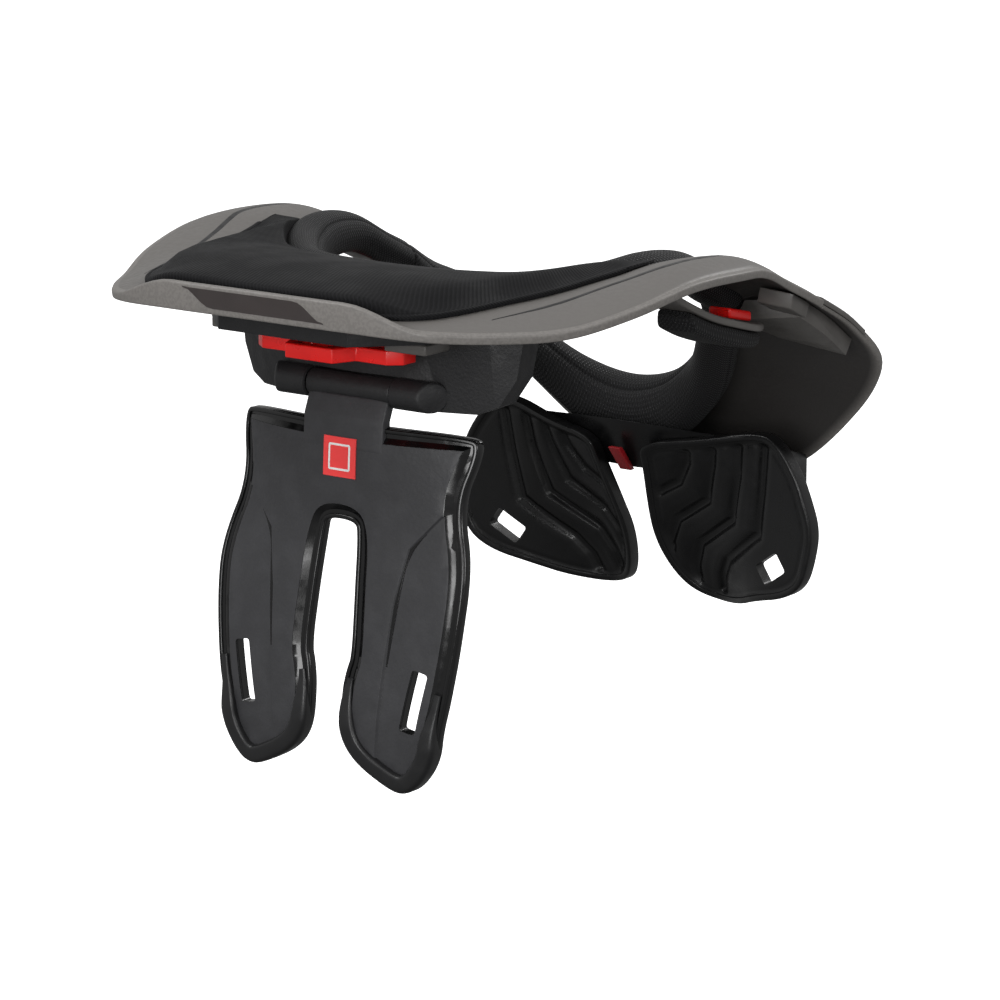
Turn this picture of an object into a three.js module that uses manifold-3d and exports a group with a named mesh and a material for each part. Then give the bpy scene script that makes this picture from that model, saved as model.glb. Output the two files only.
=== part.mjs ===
// A motocross neck brace, in millimetres. +X is the wearer's right, +Y the chest, +Z up.
// The origin is the middle of the neck opening, where the brace sits on the shoulders.

import * as THREE from "three";
import { mergeVertices } from "three/addons/utils/BufferGeometryUtils.js";
import Module from "manifold-3d";

const wasm = await Module();
wasm.setup();

// Driving sizes

const clearance = 0.35;

const collar = {
  halfWidth: 120,
  rearReach: 139,
  frontReach: 156,
  rise: 14.5,
  frontDrop: 108,
  seamGap: 0.6,
};

const neck = {
  halfWidth: 82.5,
  rearReach: 58,
  frontReach: 108,
  rise: 22,
  frontDrop: 53,
};

const shell = {
  wall: 3.5,
  crown: 3,
  seatDepth: 10,
  innerShare: 0.9,
  lipHeight: 7,
  lipWall: 2.6,
  lipLean: 1.5,
  lipFoot: 1,
};

const pad = { rearEdge: 7, sideEdge: 2.5, ridge: 6, innerShare: 0.94, lastStation: 6 };

const roll = { halfWidth: 9, halfHeight: 14, overhang: 3, sides: 12 };

const stepsRound = { rear: 36, front: 24 };

const hinge = {
  setback: 79.5,
  drop: 28,
  barrelRadius: 5.2,
  barrelHalf: 19.4,
  knuckleHalf: 33.7,
  pinRadius: 2.2,
  runningGap: 0.4,
};

const chassis = {
  halfWidth: 66,
  drop: 34,
  rise: 13,
  wall: 10,
  curl: 15.7,
  trayRear: 122,
  trayHalfRear: 44,
  trayHalfFront: 56,
  trayDrop: 3,
};

const lock = { halfWidth: 34, front: 72, rear: 98, tabReach: 9, tabHalf: 11, top: 8.2, thickness: 5.5 };

const bracket = { inner: 36, outer: 55, thickness: 4, length: 15 };

const strut = {
  halfWidth: 57.8,
  length: 147,
  thickness: 4,
  lean: 19,
  curl: 13,
  plateau: 1.6,
  border: 6.5,
  bumperWidth: 7,
  bumperRise: 3.6,
  footShare: 0.72,
  slotWidth: 7,
  slotLength: 24,
  slotTilt: 0.2,
  grooveWidth: 1.6,
  grooveDepth: 0.8,
};

const label = { size: 15, thickness: 0.6, drop: 53 };

const tongue = { across: 91, start: -30, end: 54, halfWidth: 10.5, thickness: 3, drop: 15, padThickness: 7 };

const peg = { start: 28, length: 17, halfWidth: 5, height: 4 };

const latch = { inset: 8, width: 23, depth: 7, plateReach: 35, plateWall: 2.6, endShare: 1.45 };

const seamBracket = { outer: 5, inner: 19, depth: 6.5, lengthShare: 0.55 };

const slider = { width: 3.15, thickness: 1.5, endShare: 0.8 };

const lever = { inset: 0.6, width: 12.5, bite: 1.6, proud: 0.8, lengthShare: 1.25, draft: 0.5, overrun: 3 };

const flap = {
  width: 88,
  height: 80,
  top: 69,
  reach: 104,
  leanStart: 13,
  thickness: 5,
  rib: 1.8,
  ribWidth: 4,
  slotWidth: 9,
  slotLength: 14,
  slotTilt: 0.6,
};

const shelf = { rear: 80, top: 3, drop: 22, step: 14, stepUp: 8, brow: 30, browWall: 12, halfShare: 0.64 };

const clip = { halfWidth: 5, length: 18, thickness: 3, drop: 4 };

// Farther than any piece reaches, for boxes and prisms that only cut
const beyond = 400;

const colours = {
  shell: 0x76736f,
  pad: 0x17181a,
  mesh: 0x101113,
  plastic: 0x1b1c1f,
  red: 0xd8171c,
  darkRed: 0x8d1a20,
  steel: 0x9a9c9f,
};

// Small helpers

function table(columns, rows) {
  return rows.map((row) => Object.fromEntries(columns.map((name, i) => [name, row[i]])));
}

function readTable(rows, key, value, at) {
  const last = rows.length - 1;
  const found = rows.findIndex((row, i) => i === last || rows[i + 1][key] >= at);
  const from = rows[Math.max(0, Math.min(found, last - 1))];
  const to = rows[Math.max(1, Math.min(found + 1, last))];
  const share = THREE.MathUtils.clamp((at - from[key]) / (to[key] - from[key]), 0, 1);
  return THREE.MathUtils.lerp(from[value], to[value], share);
}

function steps(from, to, count) {
  return Array.from({ length: count + 1 }, (_, i) => THREE.MathUtils.lerp(from, to, i / count));
}

function solidFrom(positions, index) {
  let volume = 0;
  const corner = (i) => new THREE.Vector3().fromArray(positions, 3 * index[i]);
  for (let i = 0; i < index.length; i += 3) {
    volume += corner(i).dot(corner(i + 1).cross(corner(i + 2)));
  }
  const facing = volume < 0 ? index.map((_, i) => index[i - (i % 3) + 2 - (i % 3)]) : index;
  return new wasm.Manifold(
    new wasm.Mesh({
      numProp: 3,
      vertProperties: new Float32Array(positions),
      triVerts: new Uint32Array(facing),
    }),
  );
}

function solidOf(geometry) {
  geometry.deleteAttribute("normal");
  geometry.deleteAttribute("uv");
  const merged = mergeVertices(geometry, 1e-4);
  return solidFrom(Array.from(merged.attributes.position.array), Array.from(merged.index.array));
}

// Joins rings of the same number of points into a closed solid with flat ends
function loft(rings) {
  const size = rings[0].length;
  const index = [];
  for (let r = 0; r < rings.length - 1; r += 1) {
    for (let i = 0; i < size; i += 1) {
      const here = r * size + i;
      const next = r * size + ((i + 1) % size);
      index.push(here, next, next + size, here, next + size, here + size);
    }
  }
  const cap = capTriangles(rings[0]);
  const lastStart = (rings.length - 1) * size;
  for (const [a, b, c] of cap) {
    index.push(c, b, a);
    index.push(lastStart + a, lastStart + b, lastStart + c);
  }
  return solidFrom(
    rings.flat().flatMap((p) => p.toArray()),
    index,
  );
}

// Triangles of a flat ring, in the same turn as its points
function capTriangles(ring) {
  const normal = new THREE.Vector3();
  ring.forEach((p, i) => normal.add(p.clone().cross(ring[(i + 1) % ring.length])));
  normal.normalize();
  const across = ring[1].clone().sub(ring[0]).normalize();
  const along = normal.clone().cross(across);
  const flat = ring.map((p) => new THREE.Vector2(p.dot(across), p.dot(along)));
  return THREE.ShapeUtils.triangulateShape(flat, []);
}

// Cuts the corners of a closed outline, so that a few points give a rounded shape
function rounded(outline, times) {
  let points = outline;
  for (let pass = 0; pass < times; pass += 1) {
    points = points.flatMap((p, i) => {
      const q = points[(i + 1) % points.length];
      return [p.clone().lerp(q, 0.25), p.clone().lerp(q, 0.75)];
    });
  }
  return points;
}

// Moves each side of a closed outline inwards
function inset(outline, distance) {
  const turn = THREE.ShapeUtils.isClockWise(outline) ? -1 : 1;
  const normals = outline.map((p, i) => {
    const side = outline[(i + 1) % outline.length].clone().sub(p).normalize();
    return new THREE.Vector2(-side.y, side.x).multiplyScalar(turn);
  });
  return outline.map((p, i) => {
    const before = normals[(i + outline.length - 1) % outline.length];
    const after = normals[i];
    const shift = before.clone().add(after).multiplyScalar(distance / (1 + before.dot(after)));
    return p.clone().add(shift);
  });
}

// The outline of a line with a width
function stroke(points, width) {
  const sides = points.map((p, i) => {
    const before = points[Math.max(0, i - 1)];
    const after = points[Math.min(points.length - 1, i + 1)];
    const way = after.clone().sub(before).normalize();
    return new THREE.Vector2(-way.y, way.x).multiplyScalar(width / 2);
  });
  const left = points.map((p, i) => p.clone().add(sides[i]));
  const right = points.map((p, i) => p.clone().sub(sides[i]));
  return [...left, ...right.reverse()];
}

function slotOutline(centre, width, length, tilt) {
  const corners = [
    [-0.5, -0.5],
    [0.5, -0.5],
    [0.5, 0.5],
    [-0.5, 0.5],
  ];
  const turned = (x, z) => new THREE.Vector2(x, z).rotateAround(new THREE.Vector2(), tilt);
  return corners.map(([x, z]) => turned(x * width, z * length).add(centre));
}

function extrusion(outline, depth) {
  return new THREE.ExtrudeGeometry(new THREE.Shape(outline), { depth, bevelEnabled: false });
}

// An outline in X and Z, extruded from one Y to another
function prismAlongY(outline, from, to) {
  return solidOf(extrusion(outline, to - from).rotateX(Math.PI / 2).translate(0, to, 0));
}

// An outline in X and Y, extruded from one Z to another
function prismAlongZ(outline, from, to) {
  return solidOf(extrusion(outline, to - from).translate(0, 0, from));
}

// An outline in Y and Z, extruded from one X to another
function prismAlongX(outline, from, to) {
  const turn = new THREE.Matrix4().makeBasis(
    new THREE.Vector3(0, 1, 0),
    new THREE.Vector3(0, 0, 1),
    new THREE.Vector3(1, 0, 0),
  );
  return solidOf(extrusion(outline, to - from).applyMatrix4(turn).translate(from, 0, 0));
}

function box([x0, y0, z0], [x1, y1, z1]) {
  const geometry = new THREE.BoxGeometry(x1 - x0, y1 - y0, z1 - z0);
  return solidOf(geometry.translate((x0 + x1) / 2, (y0 + y1) / 2, (z0 + z1) / 2));
}

function rodAlongX(radius, from, to, y, z) {
  const geometry = new THREE.CylinderGeometry(radius, radius, to - from, 20);
  return solidOf(geometry.rotateZ(Math.PI / 2).translate((from + to) / 2, y, z));
}

// A bent plate: its rear face lies at the given Y for each X and Z
function bentPlate(xs, zs, rearFace, from, to) {
  const face = (z, shift, line) => line.map((x) => new THREE.Vector3(x, rearFace(x, z) + shift, z));
  return loft(zs.map((z) => [...face(z, from, xs), ...face(z, to, [...xs].reverse())]));
}

// The collar: a closed loop of stations, from the middle of the back round the wearer's right side.
// Each row gives the rim and the neck edge as shares of the sizes above: across, along and up.
// Along is a share of the rear reach where it is negative, and of the front reach where it is positive.
// Up is a share of the rise where it is positive, and of the front drop where it is negative.

const halfStations = table(
  ["rimAcross", "rimAlong", "rimUp", "neckAcross", "neckAlong", "neckUp", "lip", "padStart", "roll"],
  [
    [0, -1, 0.41, 0, -1, 0.68, 1, 0, 1],
    [0.333, -1, 0.41, 0.339, -0.966, 0.68, 1, 0.02, 1],
    [0.583, -0.945, 0.31, 0.521, -0.879, 0.68, 0.8, 0.09, 1],
    [0.733, -0.815, 0.2, 0.655, -0.759, 0.68, 0.25, 0.3, 1],
    [0.858, -0.64, 0.17, 0.776, -0.586, 0.75, 0, 0.56, 0.95],
    [0.95, -0.453, 0.5, 0.885, -0.379, 0.86, 0, 0.71, 0.85],
    [0.992, -0.223, 1, 0.958, -0.138, 1, 0, 0.74, 0.75],
    [1, -0.007, 1, 0.994, 0.074, 0.95, 0, 0.76, 0.65],
    [0.979, 0.128, 0.72, 1, 0.204, 0.73, 0, 0.76, 0.55],
    [0.958, 0.269, 0.14, 0.982, 0.352, 0.36, 0, 0.76, 0.48],
    [0.945, 0.423, -0.074, 0.958, 0.491, 0.045, 0, 0.76, 0.45],
    [0.917, 0.615, -0.204, 0.885, 0.611, -0.151, 0, 0.76, 0.5],
    [0.867, 0.801, -0.389, 0.764, 0.713, -0.283, 0, 0.76, 0.65],
    [0.692, 0.91, -0.611, 0.545, 0.898, -0.642, 0, 0.76, 0.85],
    [0.4, 0.962, -0.87, 0.291, 0.981, -0.906, 0, 0.76, 1],
    [0, 1, -1, 0, 1, -1, 0, 0.76, 1],
  ],
);

const seamStation = 10;
const chestStation = halfStations.length - 1;

function loopPoint(size, row, kind, side) {
  const along = row[`${kind}Along`];
  const up = row[`${kind}Up`];
  return new THREE.Vector3(
    side * row[`${kind}Across`] * size.halfWidth,
    along * (along < 0 ? size.rearReach : size.frontReach),
    up * (up > 0 ? size.rise : size.frontDrop),
  );
}

function loopCurve(pointOf) {
  const right = halfStations.map((row) => pointOf(row, 1));
  const left = halfStations.slice(1, -1).map((row) => pointOf(row, -1));
  return new THREE.CatmullRomCurve3([...right, ...left.reverse()], true, "catmullrom", 0.5);
}

const rimCurve = loopCurve((row, side) => loopPoint(collar, row, "rim", side));
const neckCurve = loopCurve((row, side) => loopPoint(neck, row, "neck", side));
const edgeCurve = loopCurve((row) => new THREE.Vector3(row.lip, row.padStart, row.roll));
const stationCount = 2 * chestStation;
const seamSpacing = rimCurve
  .getPoint(seamStation / stationCount)
  .distanceTo(rimCurve.getPoint((seamStation - 1) / stationCount));
const halfSeam = collar.seamGap / 2 / seamSpacing;

// The upright plane at one station. A place in it is a distance inwards along the line from
// the rim to the neck edge, and a lift square to that line.
function sectionAt(station) {
  const share = THREE.MathUtils.euclideanModulo(station, stationCount) / stationCount;
  const rim = rimCurve.getPoint(share);
  const neckEdge = neckCurve.getPoint(share);
  const edge = edgeCurve.getPoint(share);
  const inward = new THREE.Vector3(neckEdge.x - rim.x, neckEdge.y - rim.y, 0);
  const reach = inward.length();
  inward.normalize();
  const rise = neckEdge.z - rim.z;
  const width = Math.hypot(reach, rise);
  const place = (along, lift) => {
    const level = (along * reach - lift * rise) / width;
    const height = (along * rise + lift * reach) / width;
    return new THREE.Vector3(0, 0, height).addScaledVector(inward, level).add(rim);
  };
  const lip = THREE.MathUtils.clamp(edge.x, 0, 1);
  const rollHalf = roll.halfHeight * edge.z;
  return { rim, neckEdge, inward, width, place, lip, padStart: edge.y, rollHalf };
}

function underside(share) {
  const held = THREE.MathUtils.clamp(share, 0, 1);
  return shell.crown * Math.sin(Math.PI * held) - shell.seatDepth * held ** 2;
}

function collarLoft(stations, ringOf) {
  return loft(stations.map((station) => ringOf(sectionAt(station))));
}

function shellRing(section) {
  const { width, place, lip } = section;
  const topStart = (shell.lipLean * lip + shell.lipWall + shell.lipFoot) / width;
  const bottom = steps(0, shell.innerShare, 6).map((share) => place(share * width, underside(share)));
  const top = steps(shell.innerShare, topStart, 6).map((share) =>
    place(share * width, underside(share) + shell.wall),
  );
  const lipTop = shell.wall + shell.lipHeight * lip;
  const lean = shell.lipLean * lip;
  return [...bottom, ...top, place(lean + shell.lipWall, lipTop), place(lean, lipTop)];
}

function padRing(section) {
  const { width, place, lip, padStart } = section;
  const edge = shell.lipLean * lip + shell.lipWall + shell.lipFoot + clearance;
  const start = padStart + edge / width;
  const edgeHeight = THREE.MathUtils.lerp(pad.sideEdge, pad.rearEdge, lip);
  const shares = steps(start, pad.innerShare, 6);
  const seat = (share) => underside(share) + shell.wall + clearance;
  const height = (share) => THREE.MathUtils.mapLinear(share, start, 1, edgeHeight, pad.ridge);
  const bottom = shares.map((share) => place(share * width, seat(share)));
  const top = shares.slice(1).map((share) => place(share * width, seat(share) + height(share)));
  const shoulder = place(start * width + 0.3 * edgeHeight, seat(start) + 0.92 * edgeHeight);
  const side = place(start * width, seat(start) + 0.6 * edgeHeight);
  return [...bottom, ...top.reverse(), shoulder, side];
}

function rollRing(section, grow) {
  const { neckEdge, inward, rollHalf } = section;
  const centre = neckEdge
    .clone()
    .addScaledVector(inward, roll.overhang)
    .add(new THREE.Vector3(0, 0, -rollHalf));
  return steps(0, 2 * Math.PI, roll.sides)
    .slice(0, -1)
    .map((angle) =>
      centre
        .clone()
        .addScaledVector(inward, (roll.halfWidth + grow) * Math.cos(angle))
        .add(new THREE.Vector3(0, 0, (rollHalf + grow) * Math.sin(angle))),
    );
}

// The space over the shell, with a clearance, for cutting what is fitted under it
function overShellRing(section) {
  const { width, place } = section;
  const cover = 60;
  const shares = steps(-0.15, shell.innerShare + 0.06, 7);
  const bottom = shares.map((share) => place(share * width, underside(share) - clearance));
  return [...bottom, place(shares.at(-1) * width, cover), place(shares[0] * width, cover)];
}

const rearEnds = [-seamStation + halfSeam, seamStation - halfSeam];
const frontEnds = [seamStation + halfSeam, stationCount - seamStation - halfSeam];
const rearStations = steps(...rearEnds, stepsRound.rear);
const frontStations = steps(...frontEnds, stepsRound.front);

// The same stations with one more past each end
function longer(stations) {
  return [stations[0] - 0.2, ...stations, stations.at(-1) + 0.2];
}

const rearRollSpace = collarLoft(longer(rearStations), (s) => rollRing(s, clearance));
const frontRollSpace = collarLoft(longer(frontStations), (s) => rollRing(s, clearance));
const overRear = collarLoft(longer(rearStations), overShellRing);
const overFront = collarLoft(longer(frontStations), overShellRing);

const group = new THREE.Group();

function addPiece(name, made, colour, roughness, metalness = 0) {
  const mesh = made.getMesh();
  const geometry = new THREE.BufferGeometry();
  geometry.setAttribute("position", new THREE.BufferAttribute(new Float32Array(mesh.vertProperties), 3));
  geometry.setIndex(new THREE.BufferAttribute(new Uint32Array(mesh.triVerts), 1));
  const material = new THREE.MeshStandardMaterial({ color: colour, roughness, metalness });
  const piece = new THREE.Mesh(geometry, material);
  piece.name = name;
  group.add(piece);
}

const sides = [
  ["right", 1],
  ["left", -1],
];

// Rear half: shell, pad and neck roll

function addRearCollar() {
  const saddle = collarLoft(rearStations, shellRing).subtract(rearRollSpace);
  addPiece("rear_table", saddle, colours.shell, 0.55);
  const padStations = rearStations.filter((station) => Math.abs(station) <= pad.lastStation);
  const padding = collarLoft(padStations, padRing).subtract(rearRollSpace);
  addPiece("rear_table_pad", padding, colours.pad, 0.9);
  addPiece("rear_neck_roll", collarLoft(rearStations, (s) => rollRing(s, 0)), colours.mesh, 0.95);
}

// Front half: shell with a recess for each release lever, and neck roll

function leverStations(side) {
  const near = seamStation + halfSeam;
  const far = seamStation + lever.lengthShare;
  return side > 0 ? [near, far] : [stationCount - far, stationCount - near];
}

function leverRing(section) {
  const top = shell.wall + lever.proud;
  const floor = shell.wall - lever.bite;
  const outer = lever.inset;
  const inner = lever.inset + lever.width;
  return [
    section.place(outer, floor),
    section.place(inner, floor),
    section.place(inner, shell.wall),
    section.place(inner - lever.proud, top),
    section.place(outer + lever.proud, top),
    section.place(outer, shell.wall),
  ];
}

function leverRecessRing(section) {
  const floor = shell.wall - lever.bite - clearance;
  const inner = lever.inset + lever.width + clearance;
  const top = shell.wall + 2 * lever.overrun;
  return [
    section.place(-lever.overrun, floor),
    section.place(inner, floor),
    section.place(inner + lever.draft * (top - floor), top),
    section.place(-lever.overrun, top),
  ];
}

function addFrontCollar() {
  let bib = collarLoft(frontStations, shellRing).subtract(frontRollSpace);
  for (const [, side] of sides) {
    const [from, to] = leverStations(side);
    const spare = clearance / seamSpacing;
    const recess = collarLoft(steps(from - 3 * spare, to + 3 * spare, 5), leverRecessRing);
    bib = bib.subtract(recess);
  }
  addPiece("front_table", bib, colours.shell, 0.55);
  addPiece("front_neck_roll", collarLoft(frontStations, (s) => rollRing(s, 0)), colours.mesh, 0.95);
  for (const [name, side] of sides) {
    const [from, to] = leverStations(side);
    addPiece(`release_lever_${name}`, collarLoft(steps(from, to, 5), leverRing), colours.shell, 0.5);
  }
}

// Hinge chassis under the back: a curved wall with two knuckles and a flat tray

function chassisFace(x) {
  return -(hinge.setback + 0.5) + chassis.curl * (x / chassis.halfWidth) ** 2;
}

function chassisWall() {
  const half = table(
    ["across", "down"],
    [
      [0.76, 1],
      [0.88, 0.9],
      [0.97, 0.6],
      [1, 0.24],
      [1, 0],
    ],
  ).map(({ across, down }) => new THREE.Vector2(across * chassis.halfWidth, -down * chassis.drop));
  half.push(new THREE.Vector2(chassis.halfWidth, chassis.rise));
  const outline = [...half, ...half.map((p) => new THREE.Vector2(-p.x, p.y)).reverse()];
  const xs = steps(-chassis.halfWidth, chassis.halfWidth, 14);
  const zs = [-chassis.drop, chassis.rise];
  const plate = bentPlate(xs, zs, (x) => chassisFace(x), 0, chassis.wall);
  return plate.intersect(prismAlongY(outline, -beyond, 0));
}

function chassisTray() {
  const outline = [
    [-chassis.trayHalfRear, -chassis.trayRear],
    [chassis.trayHalfRear, -chassis.trayRear],
    [chassis.trayHalfFront, -hinge.setback],
    [chassis.trayHalfFront, chassis.wall - hinge.setback],
    [-chassis.trayHalfFront, chassis.wall - hinge.setback],
  ].map(([x, y]) => new THREE.Vector2(x, y));
  return prismAlongZ(outline, -chassis.trayDrop, chassis.rise);
}

function addChassis() {
  const y = -hinge.setback;
  const z = -hinge.drop;
  const knuckleStart = hinge.barrelHalf + clearance;
  const barrelSpace = hinge.barrelRadius + hinge.runningGap;
  let block = chassisWall().add(chassisTray());
  block = block.subtract(rodAlongX(barrelSpace + 0.3, -knuckleStart, knuckleStart, y, z));
  block = block.subtract(
    box([-knuckleStart, y - 20, z - 20], [knuckleStart, y + chassis.wall + 20, z + 1]),
  );
  for (const [, side] of sides) {
    const ends = [side * knuckleStart, side * hinge.knuckleHalf].sort((a, b) => a - b);
    block = block.add(rodAlongX(hinge.barrelRadius, ...ends, y, z));
  }
  block = block.subtract(rodAlongX(hinge.pinRadius + hinge.runningGap, -beyond, beyond, y, z));
  const pocket = box(
    [-lock.halfWidth * 0.7 - clearance, -hinge.setback - 20, -lock.top - lock.thickness - clearance],
    [lock.halfWidth * 0.7 + clearance, -lock.front + clearance, -lock.top + clearance],
  );
  block = block.subtract(pocket).subtract(overRear).subtract(rearRollSpace);
  addPiece("hinge_chassis", block, colours.plastic, 0.6);
  const pin = rodAlongX(hinge.pinRadius, -hinge.knuckleHalf, hinge.knuckleHalf, y, z);
  addPiece("hinge_pin", pin, colours.steel, 0.35, 0.9);
}

// Angle lock: a red lever that slides out of a pocket in the chassis, between two grey brackets

function addAngleLock() {
  const outline = [
    [0.7, -lock.front],
    [0.7, -hinge.setback - 5],
    [1, -hinge.setback - 7],
    [1, -lock.rear + 4],
    [0.85, -lock.rear],
    [lock.tabHalf / lock.halfWidth + 0.12, -lock.rear],
    [lock.tabHalf / lock.halfWidth, -lock.rear - lock.tabReach],
  ].map(([share, y]) => new THREE.Vector2(share * lock.halfWidth, y));
  const whole = [...outline, ...outline.map((p) => new THREE.Vector2(-p.x, p.y)).reverse()];
  const plate = prismAlongZ(whole, -lock.top - lock.thickness, -lock.top);
  const fingerHole = box(
    [-lock.tabHalf * 0.6, -lock.rear - lock.tabReach * 0.6, -lock.top - 20],
    [lock.tabHalf * 0.6, -lock.rear + 1, 0],
  );
  addPiece("angle_lock_lever", plate.subtract(fingerHole), colours.red, 0.4);
  for (const [name, side] of sides) {
    const xs = [side * bracket.inner, side * bracket.outer].sort((a, b) => a - b);
    const top = -chassis.trayDrop - clearance;
    const plateBelow = box(
      [xs[0], -lock.rear - 4, top - bracket.thickness],
      [xs[1], -lock.rear - 4 + bracket.length, top],
    );
    addPiece(`lock_bracket_${name}`, plateBelow, colours.shell, 0.5);
  }
}

// Back strut: a bent two-legged plate with a raised middle, its hinge barrel and rubber feet.
// Down is a share of the strut's length below the hinge axis.

const strutBend = table(
  ["down", "setback", "curl"],
  [
    [0.08, 0.34, 1],
    [0.17, 0.39, 0.8],
    [0.33, 0.45, 0.4],
    [0.49, 0.66, 0.18],
    [0.66, 0.87, 0.19],
    [0.82, 1, 0.22],
    [1, 0.97, 0.22],
  ],
);

const strutOutline = table(
  ["across", "down"],
  [
    [0.883, 0.084],
    [0.969, 0.122],
    [0.86, 0.266],
    [1, 0.428],
    [0.986, 0.59],
    [0.934, 0.748],
    [0.886, 0.83],
    [0.865, 0.898],
    [0.779, 0.959],
    [0.657, 1],
    [0.519, 0.993],
    [0.26, 0.939],
    [0.138, 0.871],
    [0.121, 0.769],
    [0.147, 0.707],
    [0.182, 0.667],
    [0.164, 0.524],
    [0.138, 0.367],
    [0.125, 0.333],
  ],
);

const strutGroove = table(
  ["across", "down"],
  [
    [0.76, 0.292],
    [0.57, 0.381],
    [0.5, 0.524],
    [0.415, 0.925],
  ],
);

// The one corner that stands in for the two shoulder points where the outline is moved inwards
const plateauShoulder = { across: 0.95, down: 0.084 };

function strutLoop(rows) {
  const half = rows.map(strutPoint(1));
  return [...half, ...half.map((p) => new THREE.Vector2(-p.x, p.y)).reverse()];
}

function strutPoint(side) {
  return ({ across, down }) =>
    new THREE.Vector2(side * across * strut.halfWidth, -hinge.drop - down * strut.length);
}

function strutFace(x, z) {
  const down = (-hinge.drop - z) / strut.length;
  const setback = readTable(strutBend, "down", "setback", down) * strut.lean;
  const curl = readTable(strutBend, "down", "curl", down) * strut.curl;
  return -hinge.setback - setback + curl * (x / strut.halfWidth) ** 2;
}

function strutPlate(from, to) {
  const xs = steps(-strut.halfWidth * 1.05, strut.halfWidth * 1.05, 10);
  const downs = [0.05, ...strutBend.map((row) => row.down), 1.05];
  const zs = downs.map((down) => -hinge.drop - down * strut.length);
  return bentPlate(xs, zs, strutFace, from, to);
}

function strutPrism(outline) {
  return prismAlongY(outline, -beyond, 0);
}

function addStrut() {
  const footLine = -hinge.drop - strut.footShare * strut.length;
  const aboveFeet = box([-beyond, -beyond, footLine + clearance], [beyond, 0, 0]);
  const belowFeet = box([-beyond, -beyond, -beyond], [beyond, 0, footLine]);
  const full = strutPrism(rounded(strutLoop(strutOutline), 2));
  const plain = strutLoop([plateauShoulder, ...strutOutline.slice(2)]);
  const inFeet = strutPrism(rounded(inset(plain, strut.bumperWidth + clearance), 2));
  const raised = strutPrism(rounded(inset(plain, strut.border), 1));
  const ring = full.intersect(belowFeet).subtract(strutPrism(rounded(inset(plain, strut.bumperWidth), 2)));
  const between = full.intersect(aboveFeet).add(inFeet);
  let plate = strutPlate(0, strut.thickness).intersect(between);
  const plateauSpace = raised.intersect(between);
  plate = plate.add(strutPlate(-strut.plateau, 1).intersect(plateauSpace));
  const barrelEnds = [-hinge.barrelHalf, hinge.barrelHalf];
  const barrel = rodAlongX(hinge.barrelRadius, ...barrelEnds, -hinge.setback, -hinge.drop);
  const webTop = -hinge.drop;
  const webBottom = -hinge.drop - 0.12 * strut.length;
  const web = prismAlongX(
    [
      [-hinge.setback - hinge.barrelRadius + 0.4, webTop],
      [-hinge.setback - hinge.barrelRadius + 3.6, webTop - 3],
      [strutFace(0, webBottom) + strut.thickness, webBottom],
      [strutFace(0, webBottom) + 0.4, webBottom],
    ].map(([y, z]) => new THREE.Vector2(y, z)),
    -hinge.barrelHalf + 1,
    hinge.barrelHalf - 1,
  );
  const boreRadius = hinge.pinRadius + hinge.runningGap;
  const bore = rodAlongX(boreRadius, -beyond, beyond, -hinge.setback, -hinge.drop);
  plate = plate.add(barrel).add(web).subtract(bore);
  for (const [, side] of sides) {
    const groove = stroke(strutGroove.map(strutPoint(side)), strut.grooveWidth);
    const grooveFloor = strut.grooveDepth - strut.plateau;
    plate = plate.subtract(strutPrism(groove).intersect(strutPlate(-2 * strut.plateau, grooveFloor)));
    plate = plate.subtract(strutPrism(strutSlot(side)));
  }
  addPiece("thoracic_strut", plate, colours.plastic, 0.6);
  for (const [name, side] of sides) {
    const [from, to] = [0, side * beyond].sort((a, b) => a - b);
    const keep = box([from, -beyond, -beyond], [to, 0, 0]);
    const bumper = strutPlate(-strut.bumperRise, strut.thickness).intersect(ring).intersect(keep);
    addPiece(`strut_bumper_${name}`, bumper, colours.plastic, 0.45);
  }
  addStrutLabel();
}

function strutSlot(side) {
  const centre = new THREE.Vector2(side * 0.69 * strut.halfWidth, -hinge.drop - 0.759 * strut.length);
  return slotOutline(centre, strut.slotWidth, strut.slotLength, -side * strut.slotTilt);
}

function addStrutLabel() {
  const centre = new THREE.Vector2(0, -label.drop);
  const square = slotOutline(centre, label.size, label.size, 0);
  const outer = -strut.plateau - clearance - label.thickness;
  const piece = strutPlate(outer, outer + label.thickness).intersect(strutPrism(square));
  addPiece("strut_label", piece, colours.red, 0.5);
}

// Shoulder tongues, their pads and pegs

const tongueRows = table(
  ["along", "width", "up"],
  [
    [0, 0.8, 0.9],
    [0.16, 0.8, 0.52],
    [0.33, 0.85, 0.06],
    [0.49, 0.9, -0.32],
    [0.66, 1, -0.61],
    [0.82, 1, -0.84],
    [0.93, 0.85, -0.95],
    [1, 0.4, -1],
  ],
);

function tongueHeight(y) {
  const along = (y - tongue.start) / (tongue.end - tongue.start);
  return readTable(tongueRows, "along", "up", along) * tongue.drop;
}

function tongueHalf(y) {
  const along = (y - tongue.start) / (tongue.end - tongue.start);
  return readTable(tongueRows, "along", "width", along) * tongue.halfWidth;
}

// A slab over or under the tongue's middle line, from one Y to another
function tongueSlab(side, ys, grow, bottom, top) {
  return loft(
    ys.map((y) => {
      const middle = side * tongue.across;
      const half = tongueHalf(y) + grow;
      const z = tongueHeight(y);
      return [
        new THREE.Vector3(middle - half, y, z + bottom),
        new THREE.Vector3(middle + half, y, z + bottom),
        new THREE.Vector3(middle + half, y, z + top),
        new THREE.Vector3(middle - half, y, z + top),
      ];
    }),
  );
}

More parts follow.
